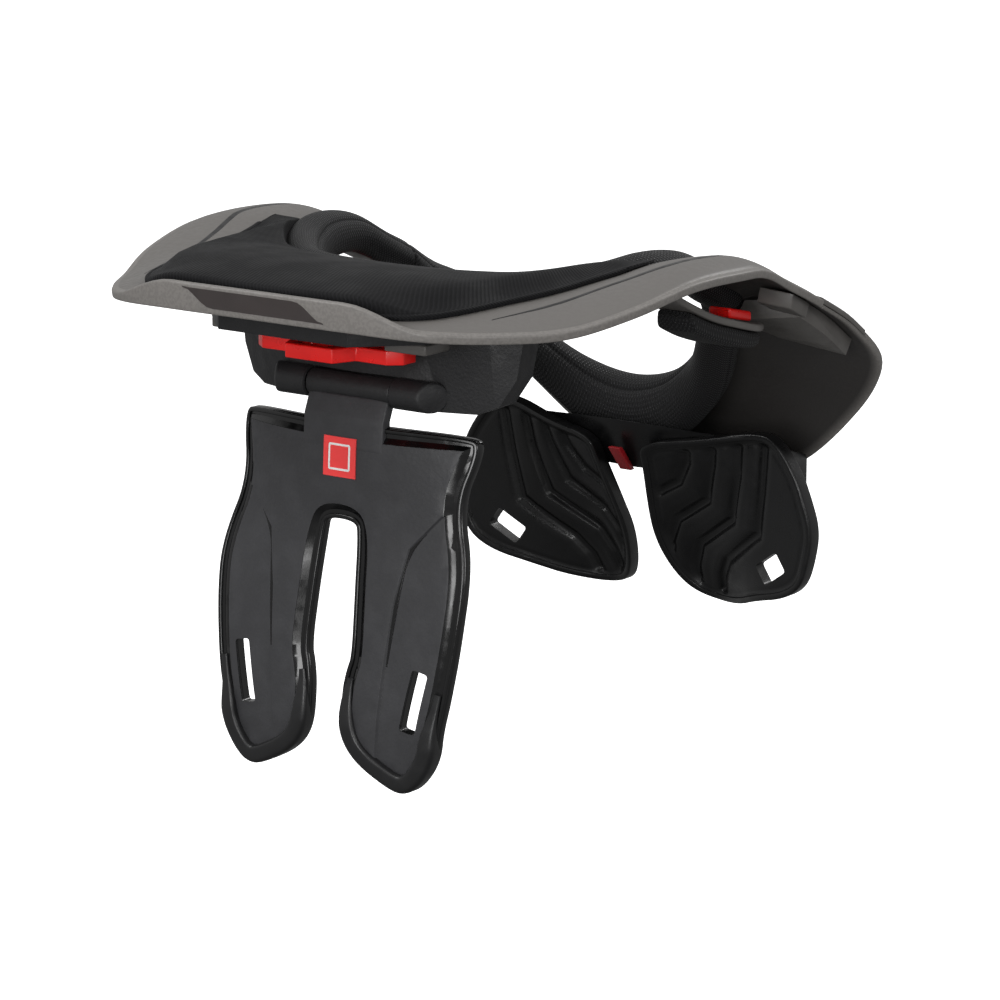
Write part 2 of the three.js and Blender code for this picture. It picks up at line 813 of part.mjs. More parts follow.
function addTongues() {
  const ys = tongueRows.map((row) => THREE.MathUtils.lerp(tongue.start, tongue.end, row.along));
  for (const [name, side] of sides) {
    const top = tongue.thickness / 2;
    const plate = tongueSlab(side, ys, 0, -top, top).subtract(overRear).subtract(rearRollSpace);
    addPiece(`shoulder_tongue_${name}`, plate, colours.shell, 0.5);
    const under = -top - clearance;
    const cushion = tongueSlab(side, ys.slice(2), 0, under - tongue.padThickness, under);
    addPiece(`shoulder_pad_${name}`, cushion, colours.mesh, 0.95);
    const pegWidth = peg.halfWidth - tongue.halfWidth;
    const pegYs = [peg.start, peg.start + peg.length];
    const pegBottom = top + clearance;
    const button = tongueSlab(side, pegYs, pegWidth, pegBottom, pegBottom + peg.height);
    addPiece(`tongue_peg_${name}`, button, colours.red, 0.4);
  }
}

// Seam pieces under the shell: rear brackets, front latch blocks and the size sliders

function underRing(inner, outer, top, bottom) {
  return (section) => {
    const lift = (along) => underside(along / section.width);
    return [
      section.place(outer, lift(outer) + bottom),
      section.place(inner, lift(inner) + bottom),
      section.place(inner, lift(inner) + top),
      section.place(outer, lift(outer) + top),
    ];
  };
}

function mirroredStations(side, from, to) {
  return side > 0 ? [from, to] : [stationCount - to, stationCount - from];
}

function addSeamPieces() {
  for (const [name, side] of sides) {
    const bracketEnds = mirroredStations(side, seamStation - seamBracket.lengthShare, seamStation - halfSeam);
    const bracketRing = underRing(seamBracket.inner, seamBracket.outer, -clearance, -seamBracket.depth);
    const rearBracket = collarLoft(steps(...bracketEnds, 2), bracketRing);
    addPiece(`latch_bracket_${name}`, rearBracket, colours.shell, 0.5);
    const ends = mirroredStations(side, seamStation + 2 * halfSeam, seamStation + latch.endShare);
    const housingInner = latch.inset + latch.width;
    const housingRing = underRing(housingInner, latch.inset, -clearance, -latch.depth);
    const housing = collarLoft(steps(...ends, 5), housingRing);
    const plateTop = latch.plateWall - latch.depth;
    const plateRing = underRing(latch.plateReach, latch.inset, plateTop, -latch.depth);
    const plate = collarLoft(steps(...ends, 5), plateRing);
    const block = housing.add(plate).subtract(frontRollSpace);
    addPiece(`latch_block_${name}`, block, colours.shell, 0.5);
    const stripEnds = mirroredStations(side, seamStation + 4 * halfSeam, seamStation + slider.endShare);
    const stripBottom = plateTop + clearance;
    const stripOuter = housingInner + clearance;
    const strip = collarLoft(
      steps(...stripEnds, 3),
      underRing(stripOuter + slider.width, stripOuter, stripBottom + slider.thickness, stripBottom),
    );
    addPiece(`size_slider_${name}`, strip.subtract(frontRollSpace), colours.darkRed, 0.45);
  }
}

// Chest flaps: twisted plates that hang from a shelf under the front shell.
// Their rear face is set by a table across the flap: where it starts, as a share of the flap's
// reach from the neck opening, and how far it leans forward.

const flapBend = table(
  ["across", "start", "lean"],
  [
    [0.09, 0.89, 0.5],
    [0.32, 0.938, 0.48],
    [0.66, 1, 0.13],
    [0.94, 0.981, 0.05],
  ],
);

const flapOutline = table(
  ["across", "down"],
  [
    [0.136, 0.11],
    [0.125, 0.25],
    [0.095, 0.45],
    [0.074, 0.65],
    [0.117, 0.84],
    [0.193, 0.96],
    [0.318, 1],
    [0.477, 0.97],
    [0.636, 0.9],
    [0.818, 0.85],
    [0.93, 0.77],
    [0.972, 0.64],
    [1, 0.475],
    [0.955, 0.31],
    [0.909, 0.19],
    [0.807, 0.04],
    [0.705, 0],
    [0.41, 0.07],
  ],
);

const flapRibs = [
  [
    [0.36, 0.12],
    [0.28, 0.29],
    [0.16, 0.4],
  ],
  [
    [0.48, 0.13],
    [0.385, 0.41],
    [0.2, 0.56],
    [0.15, 0.66],
  ],
  [
    [0.6, 0.12],
    [0.51, 0.52],
    [0.28, 0.69],
    [0.22, 0.88],
  ],
  [
    [0.73, 0.17],
    [0.68, 0.55],
    [0.43, 0.76],
    [0.35, 0.93],
  ],
];

function flapPoint(side) {
  return ([across, down]) => new THREE.Vector2(side * across * flap.width, -flap.top - down * flap.height);
}

function flapFace(x, z) {
  const across = Math.abs(x) / flap.width;
  const start = readTable(flapBend, "across", "start", across) * flap.reach;
  const lean = readTable(flapBend, "across", "lean", across);
  return start + lean * (-flap.top - flap.leanStart - z);
}

function flapPlate(from, to) {
  const half = steps(0.04, 1.04, 8).map((share) => share * flap.width);
  const xs = [...half.map((x) => -x).reverse(), ...half];
  const zs = steps(0.15, -1.05, 8).map((share) => -flap.top + share * flap.height);
  return bentPlate(xs, zs, flapFace, from, to);
}

function flapPrism(outline) {
  return prismAlongY(outline, 0, beyond);
}

function addFlaps() {
  for (const [name, side] of sides) {
    const outline = flapOutline.map(({ across, down }) => flapPoint(side)([across, down]));
    let plate = flapPlate(0, flap.thickness).intersect(flapPrism(rounded(outline, 1)));
    for (const rib of flapRibs) {
      const line = stroke(rib.map(flapPoint(side)), flap.ribWidth);
      plate = plate.add(flapPlate(-flap.rib, 1).intersect(flapPrism(line)));
    }
    const slotCentre = flapPoint(side)([0.74, 0.71]);
    const slot = slotOutline(slotCentre, flap.slotLength, flap.slotWidth, side * flap.slotTilt);
    plate = plate.subtract(flapPrism(slot));
    addPiece(`chest_flap_${name}`, plate.subtract(frontRollSpace), colours.plastic, 0.6);
  }
}

function addShelf() {
  const browReach = 0.95 * collar.frontReach;
  const profile = [
    [shelf.rear, shelf.top],
    [shelf.rear, -shelf.drop],
    [flap.reach + shelf.step, -shelf.drop],
    [flap.reach + shelf.step + 4, shelf.stepUp - shelf.drop],
    [browReach, -shelf.brow],
    [browReach, shelf.browWall - shelf.brow],
  ].map(([y, z]) => new THREE.Vector2(y, z - flap.top));
  const behind = flapPlate(-flap.reach, flap.thickness + clearance);
  const halfWidth = shelf.halfShare * flap.width;
  const ledge = prismAlongX(profile, -halfWidth, halfWidth)
    .subtract(behind)
    .subtract(overFront)
    .subtract(frontRollSpace);
  addPiece("chest_shelf", ledge, colours.plastic, 0.7);
  const clipTop = -flap.top - clip.drop;
  const clipSpace = box([-clip.halfWidth, 0, clipTop - clip.length], [clip.halfWidth, beyond, clipTop]);
  const clasp = flapPlate(flap.thickness - clip.thickness, flap.thickness).intersect(clipSpace);
  addPiece("chest_clip", clasp.subtract(frontRollSpace), colours.darkRed, 0.45);
}

addRearCollar();
addFrontCollar();
addChassis();
addAngleLock();
addStrut();
addTongues();
addSeamPieces();
addFlaps();
addShelf();

export default group;
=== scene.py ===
"""Looks of a motocross neck brace, built round its fixed frame.

Named sizes in this file are in millimetres. Meshes are in metres.
+X is the wearer's right, +Y the chest, +Z up.
"""

import functools
import math

import bmesh
import bpy
from bpy.props import FloatProperty, FloatVectorProperty, PointerProperty
from mathutils import Matrix, Vector


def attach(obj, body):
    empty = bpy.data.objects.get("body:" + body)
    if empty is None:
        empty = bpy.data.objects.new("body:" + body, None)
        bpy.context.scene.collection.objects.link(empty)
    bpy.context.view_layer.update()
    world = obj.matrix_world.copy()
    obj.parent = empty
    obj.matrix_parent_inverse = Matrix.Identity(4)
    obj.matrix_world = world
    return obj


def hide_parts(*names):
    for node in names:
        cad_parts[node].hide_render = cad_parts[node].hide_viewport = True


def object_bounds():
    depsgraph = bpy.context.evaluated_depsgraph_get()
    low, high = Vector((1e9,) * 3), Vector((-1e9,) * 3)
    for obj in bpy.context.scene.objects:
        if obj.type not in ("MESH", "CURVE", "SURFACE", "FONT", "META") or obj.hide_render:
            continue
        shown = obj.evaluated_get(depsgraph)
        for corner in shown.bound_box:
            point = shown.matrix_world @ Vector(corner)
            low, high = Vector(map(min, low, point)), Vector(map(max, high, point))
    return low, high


bl_info = {
    "name": "Motocross neck brace",
    "version": (1, 0, 0),
    "blender": (4, 5, 0),
    "location": "3D View > Sidebar > Brace",
    "description": "Builds the shells, pads, strut and chest flaps of a neck brace",
    "category": "Add Mesh",
}

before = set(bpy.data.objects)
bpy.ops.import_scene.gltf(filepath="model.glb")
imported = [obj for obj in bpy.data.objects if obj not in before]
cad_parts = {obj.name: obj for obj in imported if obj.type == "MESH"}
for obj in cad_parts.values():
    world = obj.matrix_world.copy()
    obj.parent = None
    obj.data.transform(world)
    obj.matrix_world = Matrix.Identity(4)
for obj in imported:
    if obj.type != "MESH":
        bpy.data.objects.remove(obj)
cad_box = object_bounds()

MM = 0.001
SIDES = (("right", 1), ("left", -1))
SMOOTH_ANGLE = 35
ROUNDING_STEPS = 4

# Main sizes

COLLAR = {"half_width": 120, "rear_reach": 139, "front_reach": 156, "rise": 14.5, "front_drop": 108}
NECK = {"half_width": 82.5, "rear_reach": 58, "front_reach": 108, "rise": 22, "front_drop": 53}
SHELL = {"wall": 3.5, "crown": 3, "seat": 10, "inner": 0.9, "steps": 12, "rounding": 0.9,
         "lip_height": 7, "lip_wall": 2.6, "lip_lean": 1.5, "lip_foot": 1}
PAD = {"inner": 0.94, "last": 6, "gap": 0.35, "hem_last": 5.3, "rise": 6.5, "crown": 0.9, "side": 1.6,
       "lip_side": 5.4, "slope_start": 2, "slope_end": 17, "end_run": 0.8, "end_drop": 0.4}
ROLL = {"half_width": 9, "half_height": 14, "overhang": 3, "seams": (0.7, -2.2), "seam_width": 0.09,
        "pinch": 0.09, "end_run": 0.12, "end_close": 0.14}
HINGE = {"setback": 79.5, "drop": 28, "radius": 5.2, "half": 19.4, "knuckle": 33.7, "pin": 2.2, "gap": 0.35,
         "sleeve": 0.7}
STRUT = {"half_width": 57.8, "length": 147, "thickness": 4, "lean": 19, "curl": 13, "plateau": 1.9,
         "flange": 2.9, "border": 6.4, "step": 0.95, "bumper": 7, "bumper_rise": 3.6, "foot": 0.72,
         "slot_width": 7, "slot_length": 24, "slot_tilt": 0.2, "fold_drop": 8, "fold_slope": 0.42}
LABEL = {"size": 15, "proud": 0.4, "drop": 53, "frame_share": 0.62, "line_half": 0.4}
TONGUE = {"across": 91, "start": -30, "end": 54, "half_width": 10.5, "thickness": 3, "drop": 15, "pad": 7,
          "gap": 0.35}
LEVER = {"inset": 0.6, "width": 12.5, "bite": 1.6, "proud": 0.8, "length": 1.25, "draft": 0.55, "gap": 0.35,
         "spare": 0.035}
FLAP = {"width": 88, "height": 80, "top": 69, "thickness": 5, "slot_width": 9, "slot_length": 14,
        "slot_tilt": 0.6, "edge": 1.6, "border": 1.1, "datum": 13}
CLIP = {"scale": (0.55, 1, 0.6), "drop": 4.5}
SEAM_STATION = 10
SEAM_HALF_GAP = 0.0075

# Stations from back to chest: rim and neck edge as shares (across, along, up), lip height, roll height

HALF_STATIONS = (
    (0, -1, 0.41, 0, -1, 0.68, 1, 1),
    (0.333, -1, 0.41, 0.339, -0.966, 0.68, 1, 1),
    (0.583, -0.945, 0.31, 0.521, -0.879, 0.68, 0.8, 1),
    (0.733, -0.815, 0.2, 0.655, -0.759, 0.68, 0.25, 1),
    (0.858, -0.64, 0.17, 0.776, -0.586, 0.75, 0, 0.95),
    (0.95, -0.453, 0.5, 0.885, -0.379, 0.82, 0, 0.85),
    (0.992, -0.223, 0.88, 0.958, -0.138, 0.91, 0, 0.75),
    (1, -0.007, 0.88, 0.994, 0.074, 0.88, 0, 0.65),
    (0.979, 0.128, 0.72, 1, 0.204, 0.73, 0, 0.55),
    (0.958, 0.269, 0.14, 0.982, 0.352, 0.36, 0, 0.48),
    (0.945, 0.423, -0.074, 0.958, 0.491, 0.045, 0, 0.45),
    (0.917, 0.615, -0.204, 0.885, 0.611, -0.151, 0, 0.5),
    (0.867, 0.801, -0.389, 0.764, 0.713, -0.283, 0, 0.65),
    (0.692, 0.91, -0.611, 0.545, 0.898, -0.642, 0, 0.85),
    (0.4, 0.962, -0.87, 0.291, 0.981, -0.906, 0, 1),
    (0, 1, -1, 0, 1, -1, 0, 1),
)
STATION_COUNT = 2 * (len(HALF_STATIONS) - 1)

# Where the upstand fades, in stations, and the pad's outer edge as (station, distance from the rim)

LIP_FADE = (1.0, 2.05)
PAD_EDGE = ((0, 0), (1, 1.7), (1.5, 3.5), (2, 9), (2.5, 17), (3, 25), (3.5, 31), (4, 35.5), (4.5, 38),
            (5, 37.5), (5.5, 34), (6, 30), (8, 26))

# Trim on the shells: starts, ends, slant, pitch and runs in stations, the rest in millimetres

STRIPE = {"start": 2.9, "end": 7.4, "widening": 1, "outside": 9.5, "half_width": 1.15, "thin_share": 0.3,
          "sunk": 0.2, "proud": 0.1}
PATCH = {"start": -0.8, "end": 0.8, "slant": 0.34, "low": 2.4, "height": 6.7, "least": 0.2,
         "sunk": 0.5, "proud": 0.12}
ARROW = {"half_widths": (3.0, 2.2, 1.4, 0.7), "start": 0.62, "pitch": 0.09, "run": 0.05,
         "sunk": 0.1, "proud": 0.08}

# How the tongue plates and their cushions are rounded: start, end and tip as shares of the tongue

TONGUE_PLATE = {"grow": 0, "soft": 0.9, "start": 0, "end": 1, "tip": 0.2}
TONGUE_CUSHION = {"grow": -0.2, "soft": 2.6, "start": 0.33, "end": 0.98, "tip": 0.34}

# Down the strut as a share of its length: setback and curl as shares of lean and curl

STRUT_BEND = ((0.08, 0.34, 1), (0.17, 0.39, 0.8), (0.33, 0.45, 0.4), (0.49, 0.66, 0.18),
              (0.66, 0.87, 0.19), (0.82, 1, 0.22), (1, 0.97, 0.22))

# Outlines as shares of half width and length: across, down

STRUT_OUTLINE = ((0.883, 0.084), (0.969, 0.122), (0.86, 0.266), (1, 0.428), (0.986, 0.59), (0.934, 0.748),
                 (0.886, 0.83), (0.865, 0.898), (0.779, 0.959), (0.657, 1), (0.519, 0.993), (0.26, 0.939),
                 (0.138, 0.871), (0.121, 0.769), (0.147, 0.707), (0.182, 0.667), (0.164, 0.524),
                 (0.138, 0.367), (0.125, 0.333))
STRUT_WING = ((1.3, 0.22), (0.78, 0.29), (0.57, 0.381), (0.5, 0.524), (0.415, 0.93), (0.415, 1.2), (1.3, 1.2))

# Along the tongue: half width and height as shares

TONGUE_ROWS = ((0, 0.8, 0.9), (0.16, 0.8, 0.52), (0.33, 0.85, 0.06), (0.49, 0.9, -0.32),
               (0.66, 1, -0.61), (0.82, 1, -0.84), (0.93, 0.85, -0.95), (1, 0.4, -1))

# Across the flap: share of its width, place along Y at the datum, slope towards the chest

FLAP_BEND = ((0.09, 92.5, 0.5), (0.32, 97.5, 0.48), (0.66, 104, 0.13), (0.94, 102, 0.05))
FLAP_OUTLINE = ((0.136, 0.11), (0.125, 0.25), (0.095, 0.45), (0.074, 0.65), (0.117, 0.84), (0.193, 0.96),
                (0.318, 1), (0.477, 0.97), (0.636, 0.9), (0.818, 0.85), (0.93, 0.77), (0.972, 0.64),
                (1, 0.475), (0.955, 0.31), (0.909, 0.19), (0.807, 0.04), (0.705, 0), (0.41, 0.07))

# Relief of a flap's rear face, its runs measured from the edge or from a groove

FLAP_RELIEF ={"border_run": (2.4, 4.4), "field_run": (3.2, 5.5), "groove_run": (0.8, 2.7),
               "pillow": 0.7, "pillow_run": (1.5, 5)}
FLAP_GROOVES = (
    ((0.36, 0.05), (0.33, 0.2), (0.26, 0.32), (0.1, 0.42)),
    ((0.48, 0.04), (0.45, 0.2), (0.385, 0.41), (0.2, 0.54), (0.14, 0.66), (0.1, 0.85)),
    ((0.6, 0.02), (0.57, 0.26), (0.51, 0.5), (0.28, 0.67), (0.225, 0.8), (0.2, 1)),
    ((0.73, 0.04), (0.7, 0.3), (0.66, 0.55), (0.43, 0.74), (0.37, 0.84), (0.34, 1)),
)


# Properties

class BraceSizes(bpy.types.PropertyGroup):
    lip_height: FloatProperty(name="Lip height", description="Height of the upstand along the back",
                              default=SHELL["lip_height"] * MM, min=0, unit="LENGTH")
    pad_rise: FloatProperty(name="Pad rise", description="Thickness of the rear pad at its ridge",
                            default=PAD["rise"] * MM, min=MM, unit="LENGTH")
    mesh_pitch: FloatProperty(name="Mesh pitch", description="Distance between the holes of the mesh fabric",
                              default=1.15 * MM, min=0.1 * MM, unit="LENGTH")
    groove_depth: FloatProperty(name="Groove depth", description="Depth of the grooves in the chest flaps",
                                default=2 * MM, min=0, unit="LENGTH")


class BraceColours(bpy.types.PropertyGroup):
    shell: FloatVectorProperty(name="Shell", description="Colour of the moulded shells", subtype="COLOR",
                               default=(0.120, 0.113, 0.106))
    plastic: FloatVectorProperty(name="Plastic", description="Colour of the black plastic", subtype="COLOR",
                                 default=(0.013, 0.013, 0.014))
    fabric: FloatVectorProperty(name="Fabric", description="Colour of the pad fabric", subtype="COLOR",
                                default=(0.004, 0.004, 0.0045))
    lever: FloatVectorProperty(name="Lever", description="Colour of the lock lever", subtype="COLOR",
                               default=(0.88, 0.010, 0.008))


# Curves and tables

def steps(start, end, count):
    return [start + (end - start) * i / count for i in range(count + 1)]


def smooth_value(rows, at, column=1):
    """Value of a table at a place, on a smooth curve through its rows."""
    last = len(rows) - 1
    at = min(max(at, rows[0][0]), rows[last][0])
    i = max(k for k in range(last) if rows[k][0] <= at)
    span = rows[i + 1][0] - rows[i][0]

    def slope(k):
        low, high = max(k - 1, 0), min(k + 1, last)
        return (rows[high][column] - rows[low][column]) / (rows[high][0] - rows[low][0])

    t = (at - rows[i][0]) / span
    start, end = rows[i][column], rows[i + 1][column]
    return hermite(start, end, slope(i) * span, slope(i + 1) * span, t)


def hermite(start, end, leave, arrive, t):
    return (
        start * (2 * t**3 - 3 * t**2 + 1) + leave * (t**3 - 2 * t**2 + t)
        + end * (3 * t**2 - 2 * t**3) + arrive * (t**3 - t**2)
    )


def ease(value, low, high):
    t = min(max((value - low) / (high - low), 0), 1)
    return t * t * (3 - 2 * t)


def closed_curve(points):
    """A smooth closed curve; the place along it counts in points."""
    count = len(points)

    def at(place):
        i = math.floor(place)
        before, start, end, after = (points[(i + k) % count] for k in (-1, 0, 1, 2))
        return hermite(start, end, (end - before) / 2, (after - start) / 2, place - i)

    return at


def loop_points(make):
    right = [make(row, 1) for row in HALF_STATIONS]
    left = [make(row, -1) for row in HALF_STATIONS[1:-1]]
    return right + left[::-1]


def loop_point(size, across, along, up, side):
    return Vector((
        side * across * size["half_width"],
        along * (size["rear_reach"] if along < 0 else size["front_reach"]),
        up * (size["rise"] if up > 0 else size["front_drop"]),
    ))


rim_curve = closed_curve(loop_points(lambda row, side: loop_point(COLLAR, *row[0:3], side)))
neck_curve = closed_curve(loop_points(lambda row, side: loop_point(NECK, *row[3:6], side)))
edge_curve = closed_curve(loop_points(lambda row, side: Vector(row[6:8])))


class Section:
    """The upright plane at one station of the collar, from the rim to the neck edge."""

    def __init__(self, station):
        self.station = station
        self.rim = rim_curve(station)
        self.neck = neck_curve(station)
        edge = edge_curve(station)
        self.lip = min(max(edge.x, 0), 1 - ease(abs(station), *LIP_FADE))
        self.roll_half = ROLL["half_height"] * edge.y
        inward = Vector((self.neck.x - self.rim.x, self.neck.y - self.rim.y, 0))
        self.reach = inward.length
        self.inward = inward.normalized()
        self.rise = self.neck.z - self.rim.z
        self.width = math.hypot(self.reach, self.rise)
        self.pad_start = smooth_value(PAD_EDGE, abs(station)) / self.width

    def place(self, along, lift):
        level = (along * self.reach - lift * self.rise) / self.width
        height = (along * self.rise + lift * self.reach) / self.width
        return self.rim + self.inward * level + Vector((0, 0, height))


def underside(share):
    """Height of the shell's underside over the line from the rim to the neck edge."""
    held = min(max(share, 0), 1)
    return SHELL["crown"] * math.sin(math.pi * held) - SHELL["seat"] * held**2


def softened(corners):
    """A closed outline of (x, y, radius) corners with its corners rounded."""
    outline = []
    for i, (x, y, radius) in enumerate(corners):
        here = Vector((x, y))
        if not radius:
            outline.append(here)
            continue
        before = Vector(corners[i - 1][:2]) - here
        after = Vector(corners[(i + 1) % len(corners)][:2]) - here
        start = here + before.normalized() * min(radius, 0.45 * before.length)
        end = here + after.normalized() * min(radius, 0.45 * after.length)
        for t in steps(0, 1, ROUNDING_STEPS):
            outline.append(start.lerp(here, t).lerp(here.lerp(end, t), t))
    return outline


def rectangle(width, height, radius=0):
    """Corners of an upright rectangle about its middle."""
    return [(x * width, z * height, radius) for x, z in ((-0.5, -0.5), (0.5, -0.5), (0.5, 0.5), (-0.5, 0.5))]


def rounded(outline, times):
    """Corner cutting, so that a few points give a rounded outline."""
    for _ in range(times):
        outline = [
            p.lerp(q, share)
            for p, q in zip(outline, outline[1:] + outline[:1])
            for share in (0.25, 0.75)
        ]
    return outline


def side_normals(outline, closed=True):
    count = len(outline)
    turn = 1 if signed_area(outline) > 0 else -1
    normals = []
    for i in range(count):
        before = outline[i - 1] if closed or i else outline[i]
        after = outline[(i + 1) % count] if closed or i < count - 1 else outline[i]
        way = (after - before).normalized()
        normals.append(Vector((-way.y, way.x)) * (turn if closed else 1))
    return normals


def signed_area(outline):
    return sum(p.x * q.y - q.x * p.y for p, q in zip(outline, outline[1:] + outline[:1])) / 2


def inset(outline, distance):
    return [p + n * distance for p, n in zip(outline, side_normals(outline))]


def line_distance(point, line):
    best = 1e9
    for a, b in zip(line, line[1:]):
        way = b - a
        t = min(max((point - a).dot(way) / way.length_squared, 0), 1)
        best = min(best, (point - a - way * t).length)
    return best


# Meshes

def new_object(bm, name, smooth_angle):
    """Turns a bmesh into an object whose edges are sharp past an angle, and frees the bmesh."""
    for edge in bm.edges:
        edge.smooth = len(edge.link_faces) < 2 or edge.calc_face_angle(0) < math.radians(smooth_angle)
    for face in bm.faces:
        face.smooth = True
    mesh = bpy.data.meshes.new(name)
    bm.to_mesh(mesh)
    bm.free()
    piece = bpy.data.objects.new(name, mesh)
    bpy.context.scene.collection.objects.link(piece)
    return piece


def object_from(bm, name, smooth_angle=SMOOTH_ANGLE):
    """One object from a closed bmesh, with its faces pointing out."""
    bmesh.ops.recalc_face_normals(bm, faces=bm.faces)
    if bm.calc_volume(signed=True) < 0:
        bmesh.ops.reverse_faces(bm, faces=bm.faces)
    return new_object(bm, name, smooth_angle)


def grid_loft(rings, closed_path=False, marks=None):
    """A closed skin through rings of the same number of points, in millimetres, with a flow UV map."""
    size = len(rings[0])
    rows = rings + rings[:1] if closed_path else rings
    bm = bmesh.new()
    bmesh.ops.create_grid(bm, x_segments=size, y_segments=len(rows) - 1, size=1)
    flow = bm.loops.layers.uv.new("flow")
    layers = {key: bm.verts.layers.float.new(key) for key in (marks or {})}
    along = [0.0]
    for here, there in zip(rows, rows[1:]):
        middle = sum(((p - q).length for p, q in zip(here, there)), 0) / size
        along.append(along[-1] + middle)
    around = [0.0]
    for p, q in zip(rows[0], rows[0][1:] + rows[0][:1]):
        around.append(around[-1] + (p - q).length)
    cells = {}
    for vert in bm.verts:
        i = round((vert.co.x + 1) / 2 * size)
        j = round((vert.co.y + 1) / 2 * (len(rows) - 1))
        cells[vert] = (i, j)
    for vert, (i, j) in cells.items():
        vert.co = rows[j][i % size] * MM
        for loop in vert.link_loops:
            loop[flow].uv = (along[j] * MM, around[i] * MM)
        for key, layer in layers.items():
            vert[layer] = marks[key][i % size]
    bmesh.ops.remove_doubles(bm, verts=bm.verts, dist=1e-6)
    if not closed_path:
        bmesh.ops.holes_fill(bm, edges=[e for e in bm.edges if e.is_boundary], sides=0)
    return bm


def prism(outline, front, back, inner=None):
    """An outline in X and Z, extruded along Y; inner gives a second outline at the back."""
    bm = bmesh.new()
    verts = [bm.verts.new(Vector((p.x, front, p.y)) * MM) for p in outline]
    face = bm.faces.new(verts)
    grown = bmesh.ops.extrude_face_region(bm, geom=[face])
    far = [item for item in grown["geom"] if isinstance(item, bmesh.types.BMVert)]
    bmesh.ops.translate(bm, verts=far, vec=Vector((0, (back - front) * MM, 0)))
    if inner:
        for vert in far:
            here = Vector((vert.co.x, vert.co.z)) / MM
            i = min(range(len(outline)), key=lambda k: (here - outline[k]).length)
            vert.co.x, vert.co.z = inner[i] * MM
    bmesh.ops.recalc_face_normals(bm, faces=bm.faces)
    return bm


def bevel_sharp(bm, width, segments=3, angle=30):
    sharp = [e for e in bm.edges if len(e.link_faces) == 2 and e.calc_face_angle(0) > math.radians(angle)]
    bmesh.ops.bevel(bm, geom=sharp, offset=width * MM, segments=segments, profile=0.5,
                    affect="EDGES", material=-1, clamp_overlap=True)


def hinge_rod(radius, half):
    """A rod along the hinge axis, with its ends rounded."""
    bm = bmesh.new()
    bmesh.ops.create_cone(bm, cap_ends=True, segments=64, radius1=radius * MM, radius2=radius * MM,
                          depth=2 * half * MM)
    middle = Vector((0, -HINGE["setback"], -HINGE["drop"])) * MM
    turn = Matrix.Translation(middle) @ Matrix.Rotation(math.pi / 2, 4, "Y")
    bmesh.ops.transform(bm, matrix=turn, verts=bm.verts)
    bevel_sharp(bm, 0.5)
    return bm


def joined(name, parts):
    """One object from several closed bmeshes that overlap."""
    whole = bmesh.new()
    for part in parts:
        mesh = bpy.data.meshes.new("part")
        part.to_mesh(mesh)
        part.free()
        whole.from_mesh(mesh)
        bpy.data.meshes.remove(mesh)
    return new_object(whole, name, SMOOTH_ANGLE)


def cut_out(bm, tools):
    """Cuts closed bmeshes out of another and gives a new bmesh."""
    base = object_from(bm, "base")
    helpers = []
    for tool in tools:
        helper = object_from(tool, "tool")
        helpers.append(helper)
        modifier = base.modifiers.new("cut", "BOOLEAN")
        modifier.object = helper
        modifier.operation = "DIFFERENCE"
        modifier.solver = "EXACT"
    bpy.context.view_layer.update()
    mesh = bpy.data.meshes.new_from_object(base.evaluated_get(bpy.context.evaluated_depsgraph_get()))
    result = bmesh.new()
    result.from_mesh(mesh)
    for thing in [base, *helpers]:
        bpy.data.objects.remove(thing)
    bmesh.ops.dissolve_limit(result, angle_limit=math.radians(0.5), verts=result.verts, edges=result.edges)
    return result


def cut_into_cells(bm, xs, zs):
    """Divides the faces along a grid, so that the piece can bend."""
    for axis, places in ((Vector((1, 0, 0)), xs), (Vector((0, 0, 1)), zs)):
        for place in places:
            geom = bm.verts[:] + bm.edges[:] + bm.faces[:]
            bmesh.ops.bisect_plane(bm, geom=geom, plane_co=axis * place * MM, plane_no=axis, dist=1e-7)


def bend(bm, face_at):
    for vert in bm.verts:
        vert.co.y += face_at(vert.co.x / MM, vert.co.z / MM) * MM


def softened_copy(node, width, segments=3, planes=()):
    """A copy of a frame node with its facets merged, corners cut off and edges rounded."""
    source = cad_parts[node]
    bm = bmesh.new()
    bm.from_mesh(source.data)
    bmesh.ops.transform(bm, matrix=source.matrix_world, verts=bm.verts)
    bmesh.ops.remove_doubles(bm, verts=bm.verts, dist=2e-6)
    for point, way in planes:
        geom = bm.verts[:] + bm.edges[:] + bm.faces[:]
        bmesh.ops.bisect_plane(bm, geom=geom, plane_co=Vector(point) * MM, plane_no=way, clear_outer=True)
        bmesh.ops.holes_fill(bm, edges=[e for e in bm.edges if e.is_boundary], sides=0)
    bmesh.ops.dissolve_limit(bm, angle_limit=math.radians(1.5), verts=bm.verts, edges=bm.edges)
    bevel_sharp(bm, width, segments, 28)
    return bm


def settle(piece, body, nodes, finish):
    """Gives a piece its finish and its body, and hides the frame nodes that it stands for."""
    piece.data.materials.clear()
    piece.data.materials.append(finish)
    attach(piece, body)
    if nodes:
        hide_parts(*nodes)
    return piece


# Finishes

# Sockets of a Mix node that mixes colours

MIX_A, MIX_B, MIX_RESULT = 6, 7, 2


